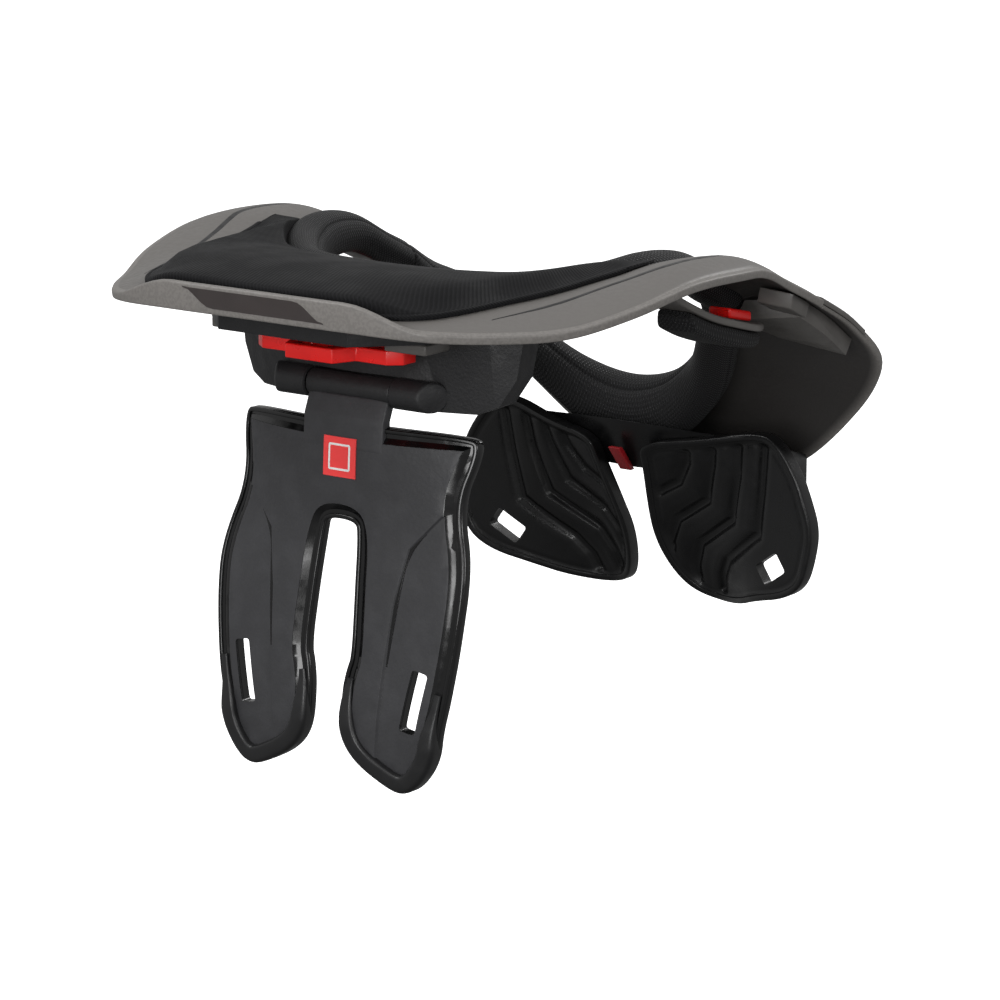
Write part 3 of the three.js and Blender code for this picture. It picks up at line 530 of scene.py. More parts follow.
class Finish:
    """A procedural material: set values, then layers of colour, roughness and bump."""

    def __init__(self, name, colour, roughness, **values):
        self.material = bpy.data.materials.new(name)
        self.material.use_nodes = True
        self.nodes = self.material.node_tree.nodes
        self.links = self.material.node_tree.links
        self.shader = self.nodes["Principled BSDF"]
        self.shader.inputs["Base Color"].default_value = (*colour, 1)
        self.shader.inputs["Roughness"].default_value = roughness
        for socket, value in values.items():
            self.shader.inputs[socket.replace("_", " ")].default_value = value
        self.colour = None
        self.normal = None

    def node(self, kind, **values):
        node = self.nodes.new(kind)
        for key, value in values.items():
            setattr(node, key, value)
        return node

    def noise(self, scale, detail, stretch=(1, 1, 1)):
        place = self.node("ShaderNodeTexCoord")
        mapping = self.node("ShaderNodeMapping")
        mapping.inputs["Scale"].default_value = stretch
        noise = self.node("ShaderNodeTexNoise")
        noise.inputs["Scale"].default_value = scale
        noise.inputs["Detail"].default_value = detail
        self.links.new(place.outputs["Object"], mapping.inputs["Vector"])
        self.links.new(mapping.outputs["Vector"], noise.inputs["Vector"])
        return noise.outputs["Fac"]

    def cells(self, scale):
        place = self.node("ShaderNodeTexCoord")
        cells = self.node("ShaderNodeTexVoronoi", feature="SMOOTH_F1")
        cells.inputs["Scale"].default_value = scale
        self.links.new(place.outputs["Object"], cells.inputs["Vector"])
        return cells.outputs["Distance"]

    def ribs(self, pitch, turn):
        """Parallel threads on the piece's own flow map."""
        flow = self.node("ShaderNodeUVMap", uv_map="flow")
        mapping = self.node("ShaderNodeMapping")
        mapping.inputs["Rotation"].default_value = (0, 0, turn)
        wave = self.node("ShaderNodeTexWave", wave_type="BANDS", bands_direction="X")
        wave.inputs["Scale"].default_value = math.pi / (10 * pitch)
        self.links.new(flow.outputs["UV"], mapping.inputs["Vector"])
        self.links.new(mapping.outputs["Vector"], wave.inputs["Vector"])
        return wave.outputs["Fac"]

    def weave(self, pitch, turn):
        """Threads that cross."""
        return self.math("MULTIPLY", self.ribs(pitch, turn), self.ribs(pitch, turn + math.pi / 2))

    def mark(self, name):
        return self.node("ShaderNodeAttribute", attribute_name=name).outputs["Fac"]

    def math(self, operation, first, second):
        node = self.node("ShaderNodeMath", operation=operation)
        for i, value in enumerate((first, second)):
            if isinstance(value, (int, float)):
                node.inputs[i].default_value = value
            else:
                self.links.new(value, node.inputs[i])
        return node.outputs[0]

    def ramp(self, value, low, high, start=0.0, end=1.0):
        node = self.node("ShaderNodeMapRange", interpolation_type="SMOOTHSTEP")
        for key, number in (("From Min", low), ("From Max", high), ("To Min", start), ("To Max", end)):
            node.inputs[key].default_value = number
        self.links.new(value, node.inputs["Value"])
        return node.outputs["Result"]

    def tint(self, mask, colour):
        """Lays a colour over what is there, where the mask is high."""
        mix = self.node("ShaderNodeMix", data_type="RGBA")
        self.links.new(mask, mix.inputs["Factor"])
        if self.colour is None:
            mix.inputs[MIX_A].default_value = self.shader.inputs["Base Color"].default_value
        else:
            self.links.new(self.colour, mix.inputs[MIX_A])
        mix.inputs[MIX_B].default_value = (*colour, 1)
        self.colour = mix.outputs[MIX_RESULT]
        self.links.new(self.colour, self.shader.inputs["Base Color"])

    def gloss(self, mask, smooth, rough):
        """Varies the roughness between two values."""
        self.links.new(self.ramp(mask, 0.3, 0.7, smooth, rough), self.shader.inputs["Roughness"])

    def bump(self, height, depth, strength=1.0):
        node = self.node("ShaderNodeBump")
        node.inputs["Strength"].default_value = strength
        node.inputs["Distance"].default_value = depth * MM
        self.links.new(height, node.inputs["Height"])
        if self.normal is not None:
            self.links.new(self.normal, node.inputs["Normal"])
        self.normal = node.outputs["Normal"]
        self.links.new(self.normal, self.shader.inputs["Normal"])


def shell_finish(colours):
    base = Vector(colours.shell)
    finish = Finish("moulded_shell", base, 0.42, Specular_IOR_Level=0.45)
    finish.tint(finish.ramp(finish.noise(40, 3), 0.42, 0.62, 0, 0.3), base * 0.95)
    finish.tint(finish.ramp(finish.noise(1500, 2), 0.6, 0.75, 0, 0.3), base * 1.2)
    # Rims and lip tops painted lighter: partly wear, partly a painted highlight along the lip's top edge.
    wear_and_highlight = finish.math("MULTIPLY", finish.mark("edge"), finish.ramp(finish.noise(900, 4), 0.4, 0.6, 0.5, 1))
    finish.tint(finish.math("MULTIPLY", wear_and_highlight, 0.6), base * 1.8)
    # Darker on the underside of the shell.
    finish.tint(finish.math("MULTIPLY", finish.mark("under"), 0.92), Vector((0.028, 0.026, 0.025)))
    finish.gloss(finish.noise(400, 3), 0.42, 0.5)
    finish.bump(finish.noise(1100, 2), 0.035, 0.7)
    finish.bump(finish.noise(500, 3), 0.02, 0.4)
    return finish.material


def plain_shell_finish(colours):
    base = Vector(colours.shell)
    finish = Finish("moulded_grey", base * 0.9, 0.42, Specular_IOR_Level=0.45)
    finish.tint(finish.ramp(finish.noise(80, 4), 0.42, 0.62, 0, 0.6), base * 0.75)
    finish.gloss(finish.noise(140, 3), 0.34, 0.5)
    finish.bump(finish.noise(1100, 2), 0.035, 0.7)
    return finish.material


def grained_plastic(colours, name, scale, depth, roughness, lift):
    """Grained black plastic; lift scales its colour."""
    base = Vector(colours.plastic) * lift
    finish = Finish(name, base, roughness, Specular_IOR_Level=0.4)
    finish.tint(finish.ramp(finish.noise(90, 4), 0.4, 0.65, 0, 0.5), base * 1.35)
    finish.gloss(finish.noise(200, 3), roughness - 0.06, roughness + 0.08)
    finish.bump(finish.cells(scale), depth, 0.9)
    finish.bump(finish.noise(scale * 2.2, 2), depth * 0.5, 0.6)
    return finish.material


def glossy_plastic(name, colour, roughness=0.22, grain=0.012):
    finish = Finish(name, colour, roughness, Specular_IOR_Level=0.5)
    finish.tint(finish.ramp(finish.noise(70, 3), 0.4, 0.65, 0, 0.5), Vector(colour) * 0.8)
    finish.gloss(finish.noise(180, 4), roughness - 0.05, roughness + 0.1)
    finish.bump(finish.noise(700, 3), grain, 0.7)
    return finish.material


def pad_fabric(colours):
    base = Vector(colours.fabric)
    finish = Finish("ribbed_pad_fabric", base, 0.8, Specular_IOR_Level=0.14, Sheen_Weight=0.02,
                    Sheen_Roughness=0.4)
    ribs = finish.ribs(0.9 * MM, 0.9)
    finish.tint(finish.ramp(ribs, 0.55, 1, 0, 0.55), base * 3)
    finish.tint(finish.ramp(finish.noise(30, 4), 0.45, 0.65, 0, 0.4), base * 1.6)
    finish.gloss(finish.noise(60, 4), 0.62, 0.8)
    finish.bump(ribs, 0.11, 0.9)
    finish.bump(finish.weave(0.7 * MM, 0.3), 0.05, 0.7)
    finish.bump(finish.noise(28, 3), 0.25, 0.2)
    return finish.material


def mesh_fabric(colours, sizes):
    base = Vector(colours.fabric) * 0.8
    finish = Finish("air_mesh_fabric", base, 0.55, Specular_IOR_Level=0.34, Sheen_Weight=0.02,
                    Sheen_Roughness=0.5)
    threads = finish.weave(sizes.mesh_pitch, math.pi / 4)
    finish.tint(finish.ramp(threads, 0.3, 0.85, 0, 0.7), base * 3.5)
    finish.gloss(threads, 0.7, 0.32)
    finish.bump(threads, 0.28, 1.0)
    finish.bump(finish.noise(45, 4), 0.5, 0.2)
    return finish.material


def steel_finish():
    finish = Finish("pin_steel", (0.55, 0.55, 0.56), 0.3, Metallic=1.0)
    finish.gloss(finish.noise(500, 3, (0.05, 1, 1)), 0.22, 0.42)
    finish.bump(finish.noise(600, 2), 0.01)
    return finish.material


class Finishes:
    """Every material of the brace, made once."""

    def __init__(self, scene):
        colours = scene.brace_colours
        self.shell = shell_finish(colours)
        self.grey = plain_shell_finish(colours)
        self.chassis = grained_plastic(colours, "grained_chassis", 900, 0.09, 0.5, 1.0)
        self.strut = grained_plastic(colours, "leather_grained_strut", 620, 0.08, 0.5, 2.5)
        self.flap = grained_plastic(colours, "soft_flap_plastic", 1200, 0.012, 0.32, 0.3)
        self.gloss = glossy_plastic("gloss_black_edge", Vector(colours.plastic) * 0.22, 0.16)
        self.rubber = glossy_plastic("smooth_rubber", Vector(colours.plastic) * 0.6, 0.36, 0.03)
        self.stripe = glossy_plastic("black_inlay", Vector(colours.plastic) * 0.4, 0.4)
        self.red = glossy_plastic("red_lever_plastic", colours.lever, 0.3, 0.004)
        self.dark_red = glossy_plastic("dark_red_plastic", (0.28, 0.008, 0.012), 0.35)
        self.label = glossy_plastic("red_label", (0.9, 0.055, 0.055), 0.42)
        self.pale = glossy_plastic("pale_print", (0.85, 0.85, 0.84), 0.45)
        self.patch = glossy_plastic("dark_lip_patch", (0.035, 0.028, 0.027), 0.35)
        self.pad = pad_fabric(colours)
        self.mesh = mesh_fabric(colours, scene.brace_sizes)
        self.steel = steel_finish()


@functools.cache
def finishes():
    return Finishes(bpy.context.scene)


# Shells

def rear_span():
    return -SEAM_STATION + SEAM_HALF_GAP, SEAM_STATION - SEAM_HALF_GAP


def front_span():
    return SEAM_STATION + SEAM_HALF_GAP, STATION_COUNT - SEAM_STATION - SEAM_HALF_GAP


def shell_top(section, along):
    return underside(along / section.width) + SHELL["wall"]


def shell_corners(section, lip_height):
    """Corners of the shell's section: along, lift, rounding."""
    width, lip, inner = section.width, section.lip, SHELL["inner"]
    lean = SHELL["lip_lean"] * lip
    top_start = (lean + SHELL["lip_wall"] + SHELL["lip_foot"]) / width
    lip_top = SHELL["wall"] + lip_height * lip
    bottom = [(s * width, underside(s), 0) for s in steps(0, inner, SHELL["steps"])]
    top = [(s * width, underside(s) + SHELL["wall"], 0) for s in steps(inner, top_start, SHELL["steps"])]
    for run in (bottom, top):
        for end in (0, -1):
            run[end] = (*run[end][:2], SHELL["rounding"])
    return bottom + top + [(lean + SHELL["lip_wall"], lip_top, 1.0), (lean, lip_top, 1.0)]


def shell_marks():
    """Which points of the rounded section lie on an edge painted lighter, partly for wear and partly as a
    painted highlight, and which on the underside.
    """
    corners = shell_corners(Section(0), SHELL["lip_height"])
    edge, under = [], []
    last = len(corners) - 1
    for i, (_, _, radius) in enumerate(corners):
        copies = ROUNDING_STEPS + 1 if radius else 1
        edge += [1.0 if i in (0, last - 1, last) else 0.0] * copies
        under += [1.0 if 0 < i <= SHELL["steps"] else 0.0] * copies
    return {"edge": edge, "under": under}


def shell_skin(span, per_station, lip_height):
    rings = []
    for station in steps(*span, round((span[1] - span[0]) * per_station)):
        section = Section(station)
        rings.append([section.place(p.x, p.y) for p in softened(shell_corners(section, lip_height))])
    return grid_loft(rings, marks=shell_marks())


def ribbon(span, per_station, corners_at, name):
    """A piece whose section runs along the collar between two stations."""
    rings = []
    for station in steps(*span, max(2, round((span[1] - span[0]) * per_station))):
        section = Section(station)
        rings.append([section.place(p.x, p.y) for p in softened(corners_at(section))])
    return object_from(grid_loft(rings), name)


def stripe_corners(section):
    """A thin black inlay that runs beside the pad's edge and starts narrow."""
    middle = section.pad_start * section.width - STRIPE["outside"]
    widened = ease(abs(section.station), STRIPE["start"], STRIPE["start"] + STRIPE["widening"])
    half = STRIPE["half_width"] * (STRIPE["thin_share"] + (1 - STRIPE["thin_share"]) * widened)
    left, right = middle - half, middle + half
    sunk, proud = STRIPE["sunk"], STRIPE["proud"]
    return [
        (left, shell_top(section, left) - sunk, 0),
        (right, shell_top(section, right) - sunk, 0),
        (right, shell_top(section, right) + proud, 0.1),
        (left, shell_top(section, left) + proud, 0.1),
    ]


def patch_corners(section):
    """A dark patch on the outer face of the lip, with slanted ends."""
    high = PATCH["low"] + PATCH["height"] * ease(PATCH["end"] - section.station, 0, PATCH["slant"])
    top = PATCH["low"] + PATCH["height"]
    low = top - PATCH["height"] * ease(section.station - PATCH["start"], 0, PATCH["slant"])
    high, low = max(high, low + PATCH["least"]), min(low, high - PATCH["least"])
    lean = SHELL["lip_lean"] / (SHELL["wall"] + SHELL["lip_height"])
    return [(low * lean - PATCH["proud"], low, 0), (low * lean + PATCH["sunk"], low, 0),
            (high * lean + PATCH["sunk"], high, 0), (high * lean - PATCH["proud"], high, 0)]


def recess(bm):
    """Cuts the seats of the release levers out of the front shell, with a sloped inner wall."""
    floor = SHELL["wall"] - LEVER["bite"] - LEVER["gap"]
    inner = LEVER["inset"] + LEVER["width"] + LEVER["gap"]
    rise, overrun = 9, 3
    corners = [(-overrun, floor), (inner, floor), (inner + LEVER["draft"] * rise, floor + rise),
               (-overrun, floor + rise)]
    tools = []
    for start, end in seat_spans():
        sections = [Section(station) for station in steps(start, end, 16)]
        tools.append(grid_loft([[section.place(*corner) for corner in corners] for section in sections]))
    return cut_out(bm, tools)


def lever_spans():
    near, far = SEAM_STATION + SEAM_HALF_GAP, SEAM_STATION + LEVER["length"]
    return {"right": (near, far), "left": (STATION_COUNT - far, STATION_COUNT - near)}


def seat_spans():
    """The levers' spans with some room at the free end and more at the seam."""
    spans = lever_spans()
    room, seam_room = LEVER["spare"], 3 * LEVER["spare"]
    (near, far), (left_far, left_near) = spans["right"], spans["left"]
    return [(near - seam_room, far + room), (left_far - room, left_near + seam_room)]


def lever_corners(section):
    top = SHELL["wall"] + LEVER["proud"]
    floor = SHELL["wall"] - LEVER["bite"]
    outer, inner = LEVER["inset"] - 0.3, LEVER["inset"] + LEVER["width"]
    return [(outer, floor, 0.4), (inner, floor, 0.3), (inner, top, 0.9), (outer, top, 1.2)]


def arrow_mark(side):
    """A plain pale mark on the lever: bars that shorten towards its free end."""
    middle = LEVER["inset"] + 0.5 * LEVER["width"]
    top = SHELL["wall"] + LEVER["proud"]
    low, high = top - ARROW["sunk"], top + ARROW["proud"]
    parts = []
    for k, half in enumerate(ARROW["half_widths"]):
        start = SEAM_STATION + ARROW["start"] - ARROW["pitch"] * k
        corners = [(middle - half, low), (middle + half, low), (middle + half, high), (middle - half, high)]
        rings = []
        for station in (start, start + ARROW["run"]):
            section = Section(station if side > 0 else STATION_COUNT - station)
            rings.append([section.place(*corner) for corner in corners])
        parts.append(grid_loft(rings))
    return parts


class BRACE_OT_shells(bpy.types.Operator):
    """Adds the rear and front shells, their stripes and the release levers"""

    bl_idname = "brace.shells"
    bl_label = "Shells"

    def execute(self, context):
        made = finishes()
        lip_height = context.scene.brace_sizes.lip_height / MM
        rear = object_from(shell_skin(rear_span(), 7, lip_height), "rear_shell")
        settle(rear, "root", ["rear_table"], made.shell)
        front = object_from(recess(shell_skin(front_span(), 7, lip_height)), "front_shell")
        settle(front, "front", ["front_table"], made.shell)
        for name, side in SIDES:
            span = sorted((side * STRIPE["start"], side * STRIPE["end"]))
            stripe = ribbon(span, 9, stripe_corners, f"shell_stripe_{name}")
            settle(stripe, "root", [], made.stripe)
            lever = ribbon(lever_spans()[name], 16, lever_corners, f"release_cover_{name}")
            settle(lever, f"lever_{name}", [f"release_lever_{name}"], made.grey)
            arrow = joined(f"release_arrow_{name}", arrow_mark(side))
            settle(arrow, f"lever_{name}", [], made.pale)
        patch = ribbon((PATCH["start"], PATCH["end"]), 14, patch_corners, "lip_patch")
        settle(patch, "root", [], made.patch)
        return {"FINISHED"}


# Pads and rolls

def pad_corners(section, rise):
    """The pad's section, which rises from its outer edge and thins towards its two ends."""
    width, lip = section.width, section.lip
    edge = SHELL["lip_lean"] * lip + SHELL["lip_wall"] + SHELL["lip_foot"] + PAD["gap"]
    start = section.pad_start + edge / width
    fade = 1 - PAD["end_drop"] * ease(abs(section.station), PAD["last"] - PAD["end_run"], PAD["last"])
    side_height = (PAD["side"] + PAD["lip_side"] * lip) * fade
    shares = steps(start, PAD["inner"], 14)

    def seat(share):
        return underside(share) + SHELL["wall"] + PAD["gap"]

    def height(share):
        t = (share - start) / (1 - start)
        body = ease((share - start) * width, PAD["slope_start"], PAD["slope_end"])
        crown = PAD["crown"] * math.sin(math.pi * t) * fade
        return side_height + (rise * fade - side_height) * body + crown

    bottom = [(s * width, seat(s), 0.6 if s == shares[0] else 0) for s in shares[::2]]
    top = [(s * width, seat(s) + height(s), 0) for s in shares[1:][::-1]]
    top[0] = (*top[0][:2], 1.2)
    shoulder = (start * width + 0.7, seat(start) + side_height, 1.6)
    return bottom + top + [shoulder]


def binding_corners(section):
    """The folded hem round the foot of the pad's outer edge."""
    x, y, _ = pad_corners(section, PAD["rise"])[0]
    left, right, low, high = x - 0.7, x + 1.6, y - 0.2, y + 1.9
    return [(left, low, 0.7), (right, low, 0.7), (right, high, 0.9), (left, high, 0.9)]


def roll_rings(span, per_station):
    """A roll along the neck edge, pinched at its seams and drawn in at its ends."""
    rings = []
    for station in steps(*span, round((span[1] - span[0]) * per_station)):
        section = Section(station)
        distance = min(station - span[0], span[1] - station)
        closing = 1 - ROLL["end_close"] + ROLL["end_close"] * ease(distance, 0, ROLL["end_run"])
        middle = section.neck + section.inward * ROLL["overhang"] - Vector((0, 0, section.roll_half))
        ring = []
        for angle in steps(0, 2 * math.pi, 72)[:-1]:
            offs = [math.remainder(angle - seam, 2 * math.pi) / ROLL["seam_width"] for seam in ROLL["seams"]]
            swell = closing * (1 - ROLL["pinch"] * sum(math.exp(-off**2) for off in offs))
            out = section.inward * ROLL["half_width"] * swell * math.cos(angle)
            up = Vector((0, 0, section.roll_half * swell * math.sin(angle)))
            ring.append(middle + out + up)
        rings.append(ring)
    return rings


def tongue_rings(side, bottom, top, grow, soft, start, end, tip):
    """A tongue's plate or cushion, narrower and thinner towards its tip."""
    last = end - tip
    places = steps(start, last, 30) + [last + tip * math.sin(a) for a in steps(0, math.pi / 2, 9)[1:]]
    rings = []
    for along in places:
        y = TONGUE["start"] + along * (TONGUE["end"] - TONGUE["start"])
        arc = math.sqrt(max(0.0, 1 - max(0.0, (along - last) / tip)**2))
        back = max(0.0, 1 - (along - start) / 0.02) if start else 0.0
        half = min(smooth_value(TONGUE_ROWS, along), 1) * TONGUE["half_width"] + grow
        half *= 0.25 + 0.75 * arc - 0.15 * back
        z = smooth_value(TONGUE_ROWS, along, 2) * TONGUE["drop"]
        low = top - (top - bottom) * (0.25 + 0.75 * arc) * (1 - 0.5 * back)
        corners = [(-half, low, soft), (half, low, soft), (half, top, soft), (-half, top, soft)]
        rings.append([Vector((side * TONGUE["across"] + p.x, y, z + p.y)) for p in softened(corners)])
    return rings


class BRACE_OT_pads(bpy.types.Operator):
    """Adds the rear pad with its hem and the two neck rolls"""

    bl_idname = "brace.pads"
    bl_label = "Pads and rolls"

    def execute(self, context):
        made = finishes()
        rise = context.scene.brace_sizes.pad_rise / MM
        span = (-PAD["last"], PAD["last"])
        pad = ribbon(span, 10, lambda section: pad_corners(section, rise), "rear_pad")
        settle(pad, "root", ["rear_table_pad"], made.pad)
        hem = ribbon((-PAD["hem_last"], PAD["hem_last"]), 10, binding_corners, "rear_pad_hem")
        settle(hem, "root", [], made.pad)
        rear = object_from(grid_loft(roll_rings(rear_span(), 9)), "rear_roll")
        settle(rear, "root", ["rear_neck_roll"], made.mesh)
        front = object_from(grid_loft(roll_rings(front_span(), 12)), "front_roll")
        settle(front, "front", ["front_neck_roll"], made.mesh)
        return {"FINISHED"}


class BRACE_OT_tongues(bpy.types.Operator):
    """Adds the shoulder tongues, their mesh pads and the red pegs"""

    bl_idname = "brace.tongues"
    bl_label = "Shoulder tongues"

    def execute(self, context):
        made = finishes()
        half = TONGUE["thickness"] / 2
        low = -half - TONGUE["gap"]
        for name, side in SIDES:
            plate = grid_loft(tongue_rings(side, -half, half, **TONGUE_PLATE))
            plate = object_from(plate, f"tongue_{name}")
            settle(plate, "root", [f"shoulder_tongue_{name}"], made.grey)
            cushion = grid_loft(tongue_rings(side, low - TONGUE["pad"], low, **TONGUE_CUSHION))
            cushion = object_from(cushion, f"shoulder_cushion_{name}")
            settle(cushion, "root", [f"shoulder_pad_{name}"], made.mesh)
            button = object_from(softened_copy(f"tongue_peg_{name}", 1.1, 4), f"peg_{name}")
            settle(button, "root", [f"tongue_peg_{name}"], made.red)
        return {"FINISHED"}


# Chassis and lock

# Planes that cut the tray's rear corners off, as a point and the way out

TRAY_CORNERS = (((30, -122, 0), (1, -1, 0)), ((-30, -122, 0), (-1, -1, 0)))

# Each row: frame node, name, slot, finish, edge rounding, body, shift along X, corner planes

CHASSIS_PIECES = (
    ("hinge_chassis", "chassis", "plastic", "chassis", 0.9, "root", 0, TRAY_CORNERS),
    ("angle_lock_lever", "lock_lever", "red", "red", 0.7, "angle_lock", 0, ()),
    ("lock_bracket_right", "bracket_right", "shell", "grey", 0.7, "root", -5, ()),
    ("lock_bracket_left", "bracket_left", "shell", "grey", 0.7, "root", 5, ()),
)


def knuckle(side):
    """A hinge knuckle whose outer end slants into the chassis wall."""
    radius = HINGE["radius"] + HINGE["sleeve"]
    start = HINGE["half"] + HINGE["gap"]
    rings = []
    for share, grow in ((0, 0.86), (0.03, 1), (0.9, 1), (0.97, 0.97), (1, 0.88)):
        ring = []
        for angle in steps(0, 2 * math.pi, 48)[:-1]:
            y, z = radius * grow * math.cos(angle), radius * grow * math.sin(angle)
            slant = HINGE["knuckle"] + 0.5 * (y + radius)
            x = side * (start + share * (slant - start))
            ring.append(Vector((x, y - HINGE["setback"], z - HINGE["drop"])))
        rings.append(ring)
    return grid_loft(rings)


class BRACE_OT_chassis(bpy.types.Operator):
    """Adds the hinge chassis, its knuckle sleeves and pin, the red lock lever and its brackets"""

    bl_idname = "brace.chassis"
    bl_label = "Chassis and lock"

    def execute(self, context):
        made = finishes()
        for node, name, slot, finish, rounding, body, shift, planes in CHASSIS_PIECES:
            shape = softened_copy(node, rounding, planes=planes)
            bmesh.ops.translate(shape, verts=shape.verts, vec=Vector((shift * MM, 0, 0)))
            settle(object_from(shape, name), body, [node], getattr(made, finish))
        pin = object_from(hinge_rod(HINGE["pin"], HINGE["knuckle"]), "pin")
        settle(pin, "root", ["hinge_pin"], made.steel)
        for name, side in SIDES:
            settle(object_from(knuckle(side), f"knuckle_{name}"), "root", [], made.chassis)
        return {"FINISHED"}


# Strut

def strut_face(x, z):
    """Where the plate's rear face lies along Y."""
    down = (-HINGE["drop"] - z) / STRUT["length"]
    setback = smooth_value(STRUT_BEND, down) * STRUT["lean"]
    curl = smooth_value(STRUT_BEND, down, 2) * STRUT["curl"]
    return -HINGE["setback"] - setback + curl * (x / STRUT["half_width"]) ** 2


def strut_point(across, down, side=1):
    return Vector((side * across * STRUT["half_width"], -HINGE["drop"] - down * STRUT["length"]))


def strut_loop():
    half = [strut_point(*row) for row in STRUT_OUTLINE]
    return half + [Vector((-p.x, p.y)) for p in half][::-1]


def slot_outline(side):
    centre = strut_point(0.69, 0.759, side)
    corners = rectangle(STRUT["slot_width"], STRUT["slot_length"], 1.4)
    turn = Matrix.Rotation(-side * STRUT["slot_tilt"], 2)
    return [turn @ p + centre for p in softened(corners)]


def strut_cells():
    reach = STRUT["half_width"]
    top, bottom = -HINGE["drop"], -HINGE["drop"] - STRUT["length"]
    return steps(-reach, reach, 28), steps(bottom, top, 36)


def wing_cutter(side, sink=0.0):
    """The lowered outer panel of a leg, with a sloped step along its V line."""
    low = [strut_point(*row, side) for row in STRUT_WING]
    shift = Vector((-side * 0.9, 0.3))
    high = [p + shift if row[0] < 1 else p for p, row in zip(low, STRUT_WING)]
    return prism(low, -STRUT["plateau"] + STRUT["step"] + sink, -STRUT["plateau"] - 0.4, high)


def laid_on_strut(bm):
    """Cuts the strap slots and bends the piece to the strut's sweep."""
    bm = cut_out(bm, [prism(slot_outline(side), -9, 9) for _, side in SIDES])
    cut_into_cells(bm, *strut_cells())
    bend(bm, strut_face)
    return bm


def strut_rim():
    """The glossy plate that shows as a sloped band round the raised middle."""
    loop = strut_loop()
    flange = prism(rounded(loop, 3), STRUT["thickness"], 0)
    bevel_sharp(flange, 0.9)
    crest = rounded(inset(loop, STRUT["border"] - 0.1), 3)
    slope = prism(rounded(inset(loop, STRUT["flange"]), 3), 0.6, -STRUT["plateau"] + 0.15, crest)
    for _, side in SIDES:
        slope = cut_out(slope, [wing_cutter(side, 0.15)])
    return joined("strut_rim", [laid_on_strut(flange), laid_on_strut(slope)])


def strut_crest():
    """The grained middle of the strut, with its lowered outer panels."""
    crest = prism(rounded(inset(strut_loop(), STRUT["border"]), 3), -0.3, -STRUT["plateau"])
    for _, side in SIDES:
        crest = cut_out(crest, [wing_cutter(side)])
    bevel_sharp(crest, 0.3, 2, 24)
    return laid_on_strut(crest)


def strut_neck():
    """The folded web between the hinge barrel and the plate."""
    half = HINGE["half"] - 0.8
    top, low = -HINGE["drop"] - 2.5, -HINGE["drop"] - 0.15 * STRUT["length"]
    fold = top - STRUT["fold_drop"]
    outline = [Vector((-half, low)), Vector((half, low)), Vector((half, top)), Vector((-half, top))]
    web = prism(outline, 2.6, -STRUT["plateau"] - 0.04)
    bevel_sharp(web, 0.5)
    cut_into_cells(web, steps(-half, half, 8), [*steps(low, fold, 6), *steps(fold, top, 6)])
    bend(web, lambda x, z: strut_face(x, z) + STRUT["fold_slope"] * max(0, z - fold))
    return web


def swept(path, corners, closed, face_at, taper=0.0):
    """A rounded section carried along a line in X and Z, bent with the plate; taper thins its ends."""
    rings = []
    outline = softened(corners)
    last = len(path) - 1
    for i, (point, normal) in enumerate(zip(path, side_normals(path, closed))):
        size = 0.4 + 0.6 * ease(min(i, last - i), 0, taper * last) if taper else 1
        ring = []
        for p in outline:
            at = point + normal * p.x * size
            ring.append(Vector((at.x, face_at(at.x, at.y) + p.y * size, at.y)))
        rings.append(ring)
    return grid_loft(rings, closed_path=closed)


def painted_step_shade(side):
    """A dark strip of painted shade along the step of a leg's outer panel."""
    rows = [(i, *row) for i, row in enumerate(STRUT_WING[1:5])]
    curve = [strut_point(smooth_value(rows, t), smooth_value(rows, t, 2), side)
             for t in steps(0.05, 2.88, 40)]
    half, level = 1.3, -STRUT["plateau"] + STRUT["step"]
    low, high = level + 0.4, level - 0.35
    corners = [(-half, low, 0), (half, low, 0), (half, high, 0.2), (-half, high, 0.2)]
    return swept(curve, corners, False, strut_face, 0.3)


def foot_path(side):
    """The run of the strut's outline below the foot line, on one leg."""
    line = -HINGE["drop"] - STRUT["foot"] * STRUT["length"]
    loop = rounded(inset(strut_loop(), 0.5 * STRUT["bumper"]), 3)
    low = [p for p in loop if side * p.x > 0 and p.y < line]
    middle = sum((p.x for p in low), 0) / len(low)
    centre = Vector((middle, line))
    return sorted(low, key=lambda p: math.atan2(p.y - centre.y, p.x - centre.x))


def framed_square():
    """The bare red label with a thin pale frame."""
    half, drop = 0.5 * LABEL["size"], LABEL["drop"]
    frame_size = LABEL["frame_share"] * LABEL["size"]
    outer = [Vector((x, z - drop)) for x, z, _ in rectangle(LABEL["size"], LABEL["size"])]
    line = [Vector((x, z - drop)) for x, z, _ in rectangle(frame_size, frame_size)]
    back = -STRUT["plateau"] - 0.1
    level = back - LABEL["proud"]
    square = prism(outer, back, level)
    cut_into_cells(square, steps(-half, half, 6), steps(-drop - half, -drop + half, 6))
    bend(square, strut_face)
    path = [a.lerp(b, t) for a, b in zip(line, line[1:] + line[:1]) for t in (0.02, 0.25, 0.5, 0.75, 0.98)]
    wide, low, high = LABEL["line_half"], level + 0.1, level - 0.06
    corners = [(-wide, low, 0), (wide, low, 0), (wide, high, 0), (-wide, high, 0)]
    return square, swept(path, corners, True, strut_face)


